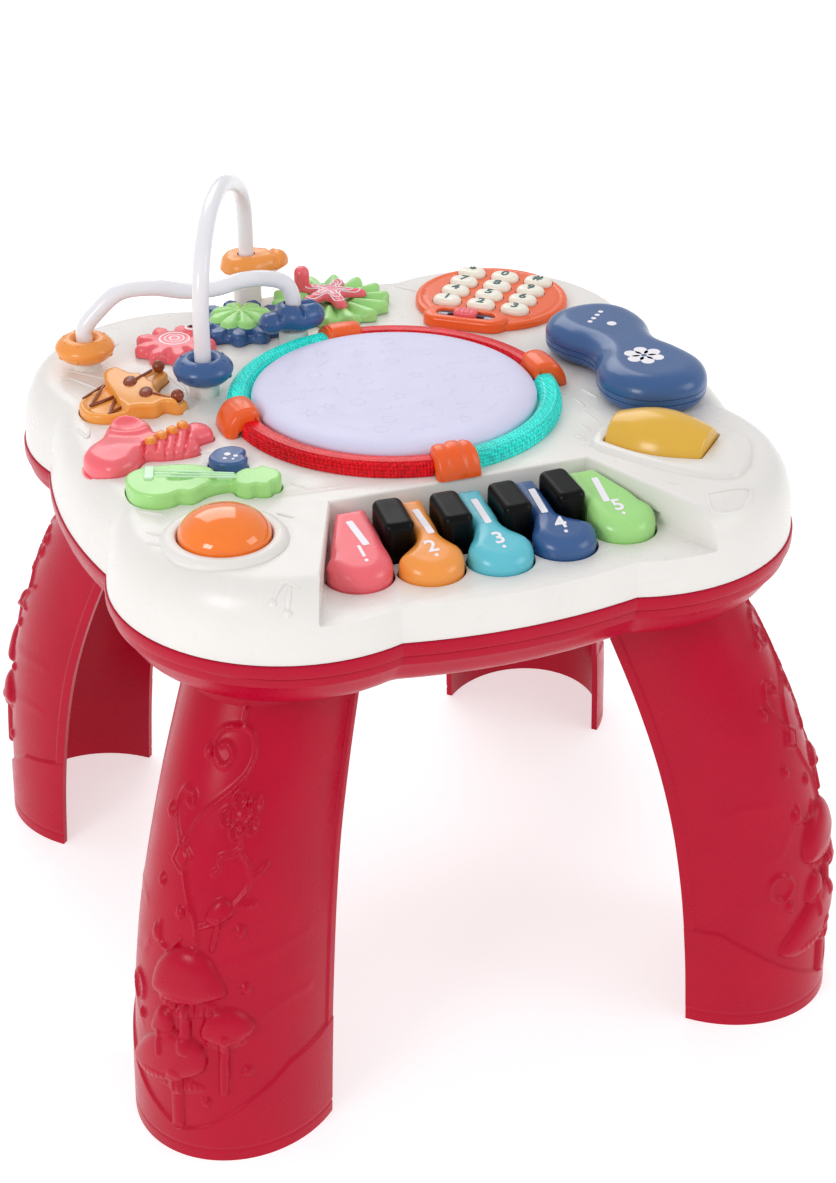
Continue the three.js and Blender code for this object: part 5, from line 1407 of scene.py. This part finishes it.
def make_bead(name, node, x, y, z, look, half):
    section = [(4.8, -1), (9, -0.97), (12.2, -0.68), (14.2, -0.22), (14.7, 0.1), (13.9, 0.4), (11.8, 0.74), (9.4, 0.93),
               (7.6, 0.96), (6.3, 0.84), (5.4, 0.66), (4.8, 0.5)]
    profile = [(max(4.8, r), z + h * half) for r, h in spline(section, 4)]
    profile[0], profile[-1] = (4.8, z - half), (4.8, z + half * 0.5)
    parts = [revolve(profile, 72, x, y)]
    for k in range(8):
        c, s = unit(45 * k + 12)
        parts.append(ball(x + 12.6 * c, y + 12.6 * s, z - 0.34 * half, 1.7, 8, 14))
        parts.append(dome(x + 10.6 * c, y + 10.6 * s, z + 0.8 * half, 0.9, 0.8, 12, 4))
    make(name, joined(*parts), look, node, [node], 50)


def make_beetle():
    outline = spline([(-42, 81), (-40.5, 76), (-35, 74.5), (-29.5, 76), (-23, 73), (-14.5, 74), (-8.5, 78), (-7, 84),
                      (-9.5, 90), (-15, 93.5), (-23, 94.5), (-30, 92.5), (-34, 88.5), (-40, 87)], 6, True)
    holes = [circle(-22.5, 86, 4.8, 28)]

    def top(x, y, d):
        edge = np.maximum(depth_in(np.stack([x, y], 1), outline), 0)
        tail = ease(np.clip((x + 21) / 2, 0, 1))
        wings = 2.4 * np.exp(-((y - 84) / 1.1) ** 2) * tail + 1.2 * np.exp(-((np.abs(y - 84) - 6.4) / 0.7) ** 2) * tail
        neck = 3 * np.exp(-((x + 31.5) / 1.2) ** 2)
        cross = 1.8 * np.exp(-((x + 20.5) / 0.8) ** 2)
        head = 2.4 * ease(np.clip((-31 - x) / 3, 0, 1))
        return 303.4 - head - rounded(edge, 6, 6.4) - neck - wings - cross
    upper = slab(outline, 296.5, top, 0.7, edge_rings(5, 6), holes)
    lower = slab(outline, 296.5, lambda x, y, d: 302.6 - rounded(d, 7, 6), 1.0, edge_rings(7, 6), holes)
    lower = ([(x, y, 593.05 - z) for x, y, z in lower[0]], [f[::-1] for f in lower[1]])
    make("beetle", joined(upper, lower), "denim", "bead_beetle", ["bead_beetle"], 50)


def make_bug():
    outline = spline([(-41, 150), (-37, 140), (-27, 136.5), (-17, 140), (-9, 143), (-4, 150), (-9, 157), (-17, 160),
                      (-27, 163.5), (-37, 160)], 6, True)
    holes = [circle(-27, 150, 4.8, 28)]

    def top(x, y, d):
        edge = np.maximum(depth_in(np.stack([x, y], 1), outline), 0)
        wing = 0.9 * np.exp(-((np.abs(y - 150) - 7) / 3.4) ** 2) * np.exp(-((x + 27) / 9) ** 2)
        collar = 1.6 * np.exp(-((np.abs(x + 26.5) - 13.5) / 1.1) ** 2)
        return 306.6 - rounded(edge, 6, 6.4) + wing - collar

    def belly_drop(x, y, d):
        edge = np.maximum(depth_in(np.stack([x, y], 1), outline), 0)
        return 308.4 - 8.2 * np.clip(1 - edge / 12.5, 0, 1) ** 1.25
    upper = slab(outline, 299.7, top, 0.9, edge_rings(6, 6), holes)
    lower = slab(outline, 299.7, belly_drop, 1.0, edge_rings(8, 7), holes)
    lower = ([(x, y, 599.45 - z) for x, y, z in lower[0]], [f[::-1] for f in lower[1]])
    make("bug", joined(upper, lower), "orange", "bead_bug", ["bead_bug"], 50)


def make_maze():
    for name, node, path in (("low_wire", "wire_low", WIRE_LOW), ("tall_wire", "wire_tall", WIRE_TALL)):
        make(name, sweep(spline(path, 8), 4.08, 24), "wire_white", TABLE, [node], 50)
    make_bead("saucer_orange", "bead_orange", -128, 95, 291.4, "orange", 6)
    make_bead("saucer_blue", "bead_blue", -82, 44, 294, "denim", 6.4)
    make_beetle()
    make_bug()


make_maze()


# Keypad with its switch
DIGITS = ["1", "2", "3", "4", "5", "6", "7", "8", "9", "*", "0", "#"]
DIGIT_NODES = ["digit_key_" + d for d in ("1", "2", "3", "4", "5", "6", "7", "8", "9", "star", "0", "hash")]
SWITCH_AT, SWITCH_TURN = (68, 77), -38


def make_keypad():
    plate_plan = circle(92, 100.3, 40, 96)

    def soft(x, y, d):
        return 284.8 - rounded(d, 1.8, 1.8) - 0.5 * np.exp(-((d - 4.2) / 0.5) ** 2)
    plate_piece = make("keypad_disc", slab(plate_plan, 281.3, soft, 1.1, edge_rings(1.8, 5)), "clip_orange", TABLE,
                       ["keypad_plate"], 42)
    housing_plan = place(obround(45, 17.5, 14), *SWITCH_AT, SWITCH_TURN)

    def rim_top(x, y, d):
        return 287.2 - rounded(d, 2.4, 2.4)
    carve(plate_piece, [slab(housing_plan, 281.32, rim_top, 1.0, edge_rings(2.4, 5))], "UNION")
    slot = place(obround(31, 8.4, 12), *SWITCH_AT, SWITCH_TURN)
    carve(plate_piece, [flared(slot, 283.2, 287.2, 0.6)])
    carve(plate_piece, [prism(plan, 270, 290) for plan in keypad_plans(0.45)])
    finish_mesh(plate_piece, "clip_orange", 42)
    floor_plan = place(obround(30.6, 8.0, 12), *SWITCH_AT, SWITCH_TURN)
    floor = make("switch_floor", prism(floor_plan, 285.3, 285.8), "slate", TABLE, angle=40)
    carve(floor, [prism(place(obround(19.6, 3, 8), *SWITCH_AT, SWITCH_TURN), 285, 286)])
    finish_mesh(floor, "slate", 40)
    words = [turned(text_plate(word, 2.9, 0.2), SWITCH_TURN, *place([(x, 0)], *SWITCH_AT, SWITCH_TURN)[0], 285.78)
             for word, x in (("OFF", -12.3), ("ON", 12.3))]
    make("switch_words", joined(*words), "print_white", TABLE, angle=40)
    knob_plan = place(rounded_box(12, 7.6, 2, 6), *SWITCH_AT, SWITCH_TURN)

    def knob_top(x, y, d):
        c, s = unit(SWITCH_TURN)
        along = (x - SWITCH_AT[0]) * c + (y - SWITCH_AT[1]) * s
        return 289.4 - rounded(d, 1.6) - 0.35 * (np.cos(along * 2 * math.pi / 2.4) > 0.55)
    knob = make("switch_knob", slab(knob_plan, 286.1, knob_top, 0.5, edge_rings(1.6, 4)), "coral", "switch_slider",
                ["switch_slider"], 42)
    carve(knob, [prism(place(rounded_box(5, 2.2, 0.6, 3), *SWITCH_AT, SWITCH_TURN), 283.5, 287)], "UNION")
    finish_mesh(knob, "coral", 42)
    for (x, y), digit, node in zip(keypad_places(), DIGITS, DIGIT_NODES):
        plan = place(obround(15.2, 10.8, 12), x, y, PAD_TURN)

        def cap(px, py, d):
            return 288 - rounded(d, 2.6, 2.8)
        shape = slab(plan, 281, cap, 0.9, edge_rings(2.6, 6))
        piece = make("cap_" + node[10:], shape, "key_cream", node, [node], 45)
        carve(piece, [prism(place(obround(16.6, 12.2, 12), x, y, PAD_TURN), 279.3, 281.05)], "UNION")
        finish_mesh(piece, "key_cream", 45)
        figure = turned(text_plate(digit, 8.2, 0.3), PAD_TURN, x, y, 287.93)
        make("figure_" + node[10:], figure, "print_dark", node, angle=40)


make_keypad()


# Handset and barrel roller
def make_handset():
    def upper_top(x, y, d):
        return 300.4 - rounded(d, 11, 9.2) + 0.0 * x
    shape = slab(HANDSET, 290.7, upper_top, 1.5, edge_rings(11, 10))
    make("receiver_top", shape, "denim", "handset", ["handset_upper"], 40)
    lower = slab(HANDSET, 290.4, lambda x, y, d: 299.3 - rounded(d, 6.5, 6.5) + 0 * x, 1.8, edge_rings(6.5, 6))
    lower = ([(x, y, 580.8 - z) for x, y, z in lower[0]], [f[::-1] for f in lower[1]])
    base = make("receiver_base", lower, "denim", "handset", ["handset_lower"], 40)
    ring = resample(HANDSET, 1.5)
    groove = loft([raise_ring(offset(ring, d), z) for d, z in ((1, 287.2), (1, 288), (-0.5, 287.8), (-0.5, 287.4))], False)
    count = len(ring)
    groove[1].extend([[3 * count + i, 3 * count + (i + 1) % count, (i + 1) % count, i] for i in range(count)])
    carve(base, [groove])
    finish_mesh(base, "denim", 40)
    # Black band set inside the thin gap between the two halves: painted shade in the seam.
    make("receiver_seam_shade", loft([raise_ring(offset(HANDSET, -0.9), 290.3), raise_ring(offset(HANDSET, -0.9), 290.8)]),
         "black", "handset", angle=40)
    marks = []
    fx, fy = 117, -31
    petals = []
    for k in range(6):
        a = 60 * k + 20
        petals.append(place(rounded_box(8.4, 6.4, 3.1, 6), fx + 5.6 * unit(a)[0], fy + 5.6 * unit(a)[1], a))
    for petal in petals:
        marks.append(plate(petal, 0.25))
    for k in range(4):
        marks.append(plate(circle(110 + 3.4 * k, 16 + 3.2 * k, 1.3, 20), 0.25))
    marks.append(plate(circle(119, 10, 2.4, 24), 0.25))

    def over(x, y):
        return float(300.4 - rounded(depth_in([(x, y)], HANDSET)[0], 11, 9.2)) - 0.04
    make("receiver_print", joined(*[draped(m, over) for m in marks]), "print_white", "handset", angle=40)


def make_roller():
    lay = (Matrix.Translation(ROLLER_AT) @ Matrix.Rotation(ROLLER_TURN * RAD, 4, "Z")
           @ Matrix.Rotation(90 * RAD, 4, "Y"))
    half = ROLLER_HALF
    profile = [(2.4, -half), (ROLLER_END - 1, -half), (ROLLER_END - 0.3, 0.3 - half)]
    profile += [(belly(s), s) for s in np.linspace(0.9 - half, half - 0.9, 29)]
    profile += [(ROLLER_END - 0.3, half - 0.3), (ROLLER_END - 1, half), (2.4, half)]
    make("barrel", moved(revolve(profile, 96), lay), "mustard", "roller", ["roller"], 40)


make_handset()
make_roller()


# Stage, light and finish
def make_stage():
    look = bpy.data.materials.new("pale_floor")
    look.use_nodes = True
    shader = look.node_tree.nodes["Principled BSDF"]
    shader.inputs["Base Color"].default_value = (0.6, 0.61, 0.62, 1)
    shader.inputs["Roughness"].default_value = 0.7
    shader.inputs["Emission Color"].default_value = (1, 1, 1, 1)
    shader.inputs["Emission Strength"].default_value = 0.6
    mesh = bpy.data.meshes.new("floor")
    size = 6
    mesh.from_pydata([(-size, -size, 0), (size, -size, 0), (size, size, 0), (-size, size, 0)], [], [(0, 1, 2, 3)])
    floor = bpy.data.objects.new("floor", mesh)
    mesh.materials.append(look)
    bpy.context.scene.collection.objects.link(floor)
    world = bpy.data.worlds.new("studio")
    world.use_nodes = True
    world.node_tree.nodes["Background"].inputs["Color"].default_value = (0.97, 0.98, 1, 1)
    world.node_tree.nodes["Background"].inputs["Strength"].default_value = 0.72
    bpy.context.scene.world = world
    bpy.context.scene.view_settings.view_transform = "Standard"
    for name, at, aim, width, power in (
            ("key_light", (-1.25, -0.75, 0.95), (0, 0, 0.15), 0.5, 6),
            ("fill_light", (1.4, -1.0, 1.1), (0, 0, 0.2), 0.8, 5),
            ("back_light", (0.1, 1.5, 1.5), (0, 0, 0.25), 1.2, 10)):
        data = bpy.data.lights.new(name, "AREA")
        data.size = width
        data.energy = power
        lamp = bpy.data.objects.new(name, data)
        lamp.location = at
        lamp.rotation_euler = (Vector(aim) - Vector(at)).to_track_quat("-Z", "Y").to_euler()
        bpy.context.scene.collection.objects.link(lamp)


def dress_frame():
    """Finishes for the frame's own nodes that stay in view."""
    slots = {part["node"]: part["material_slot"] for part in frame["record"]["subparts"]}
    for name, node in frame["nodes"].items():
        node.data.materials.clear()
        node.data.materials.append(LOOKS[slots[name]])


dress_frame()
make_stage()
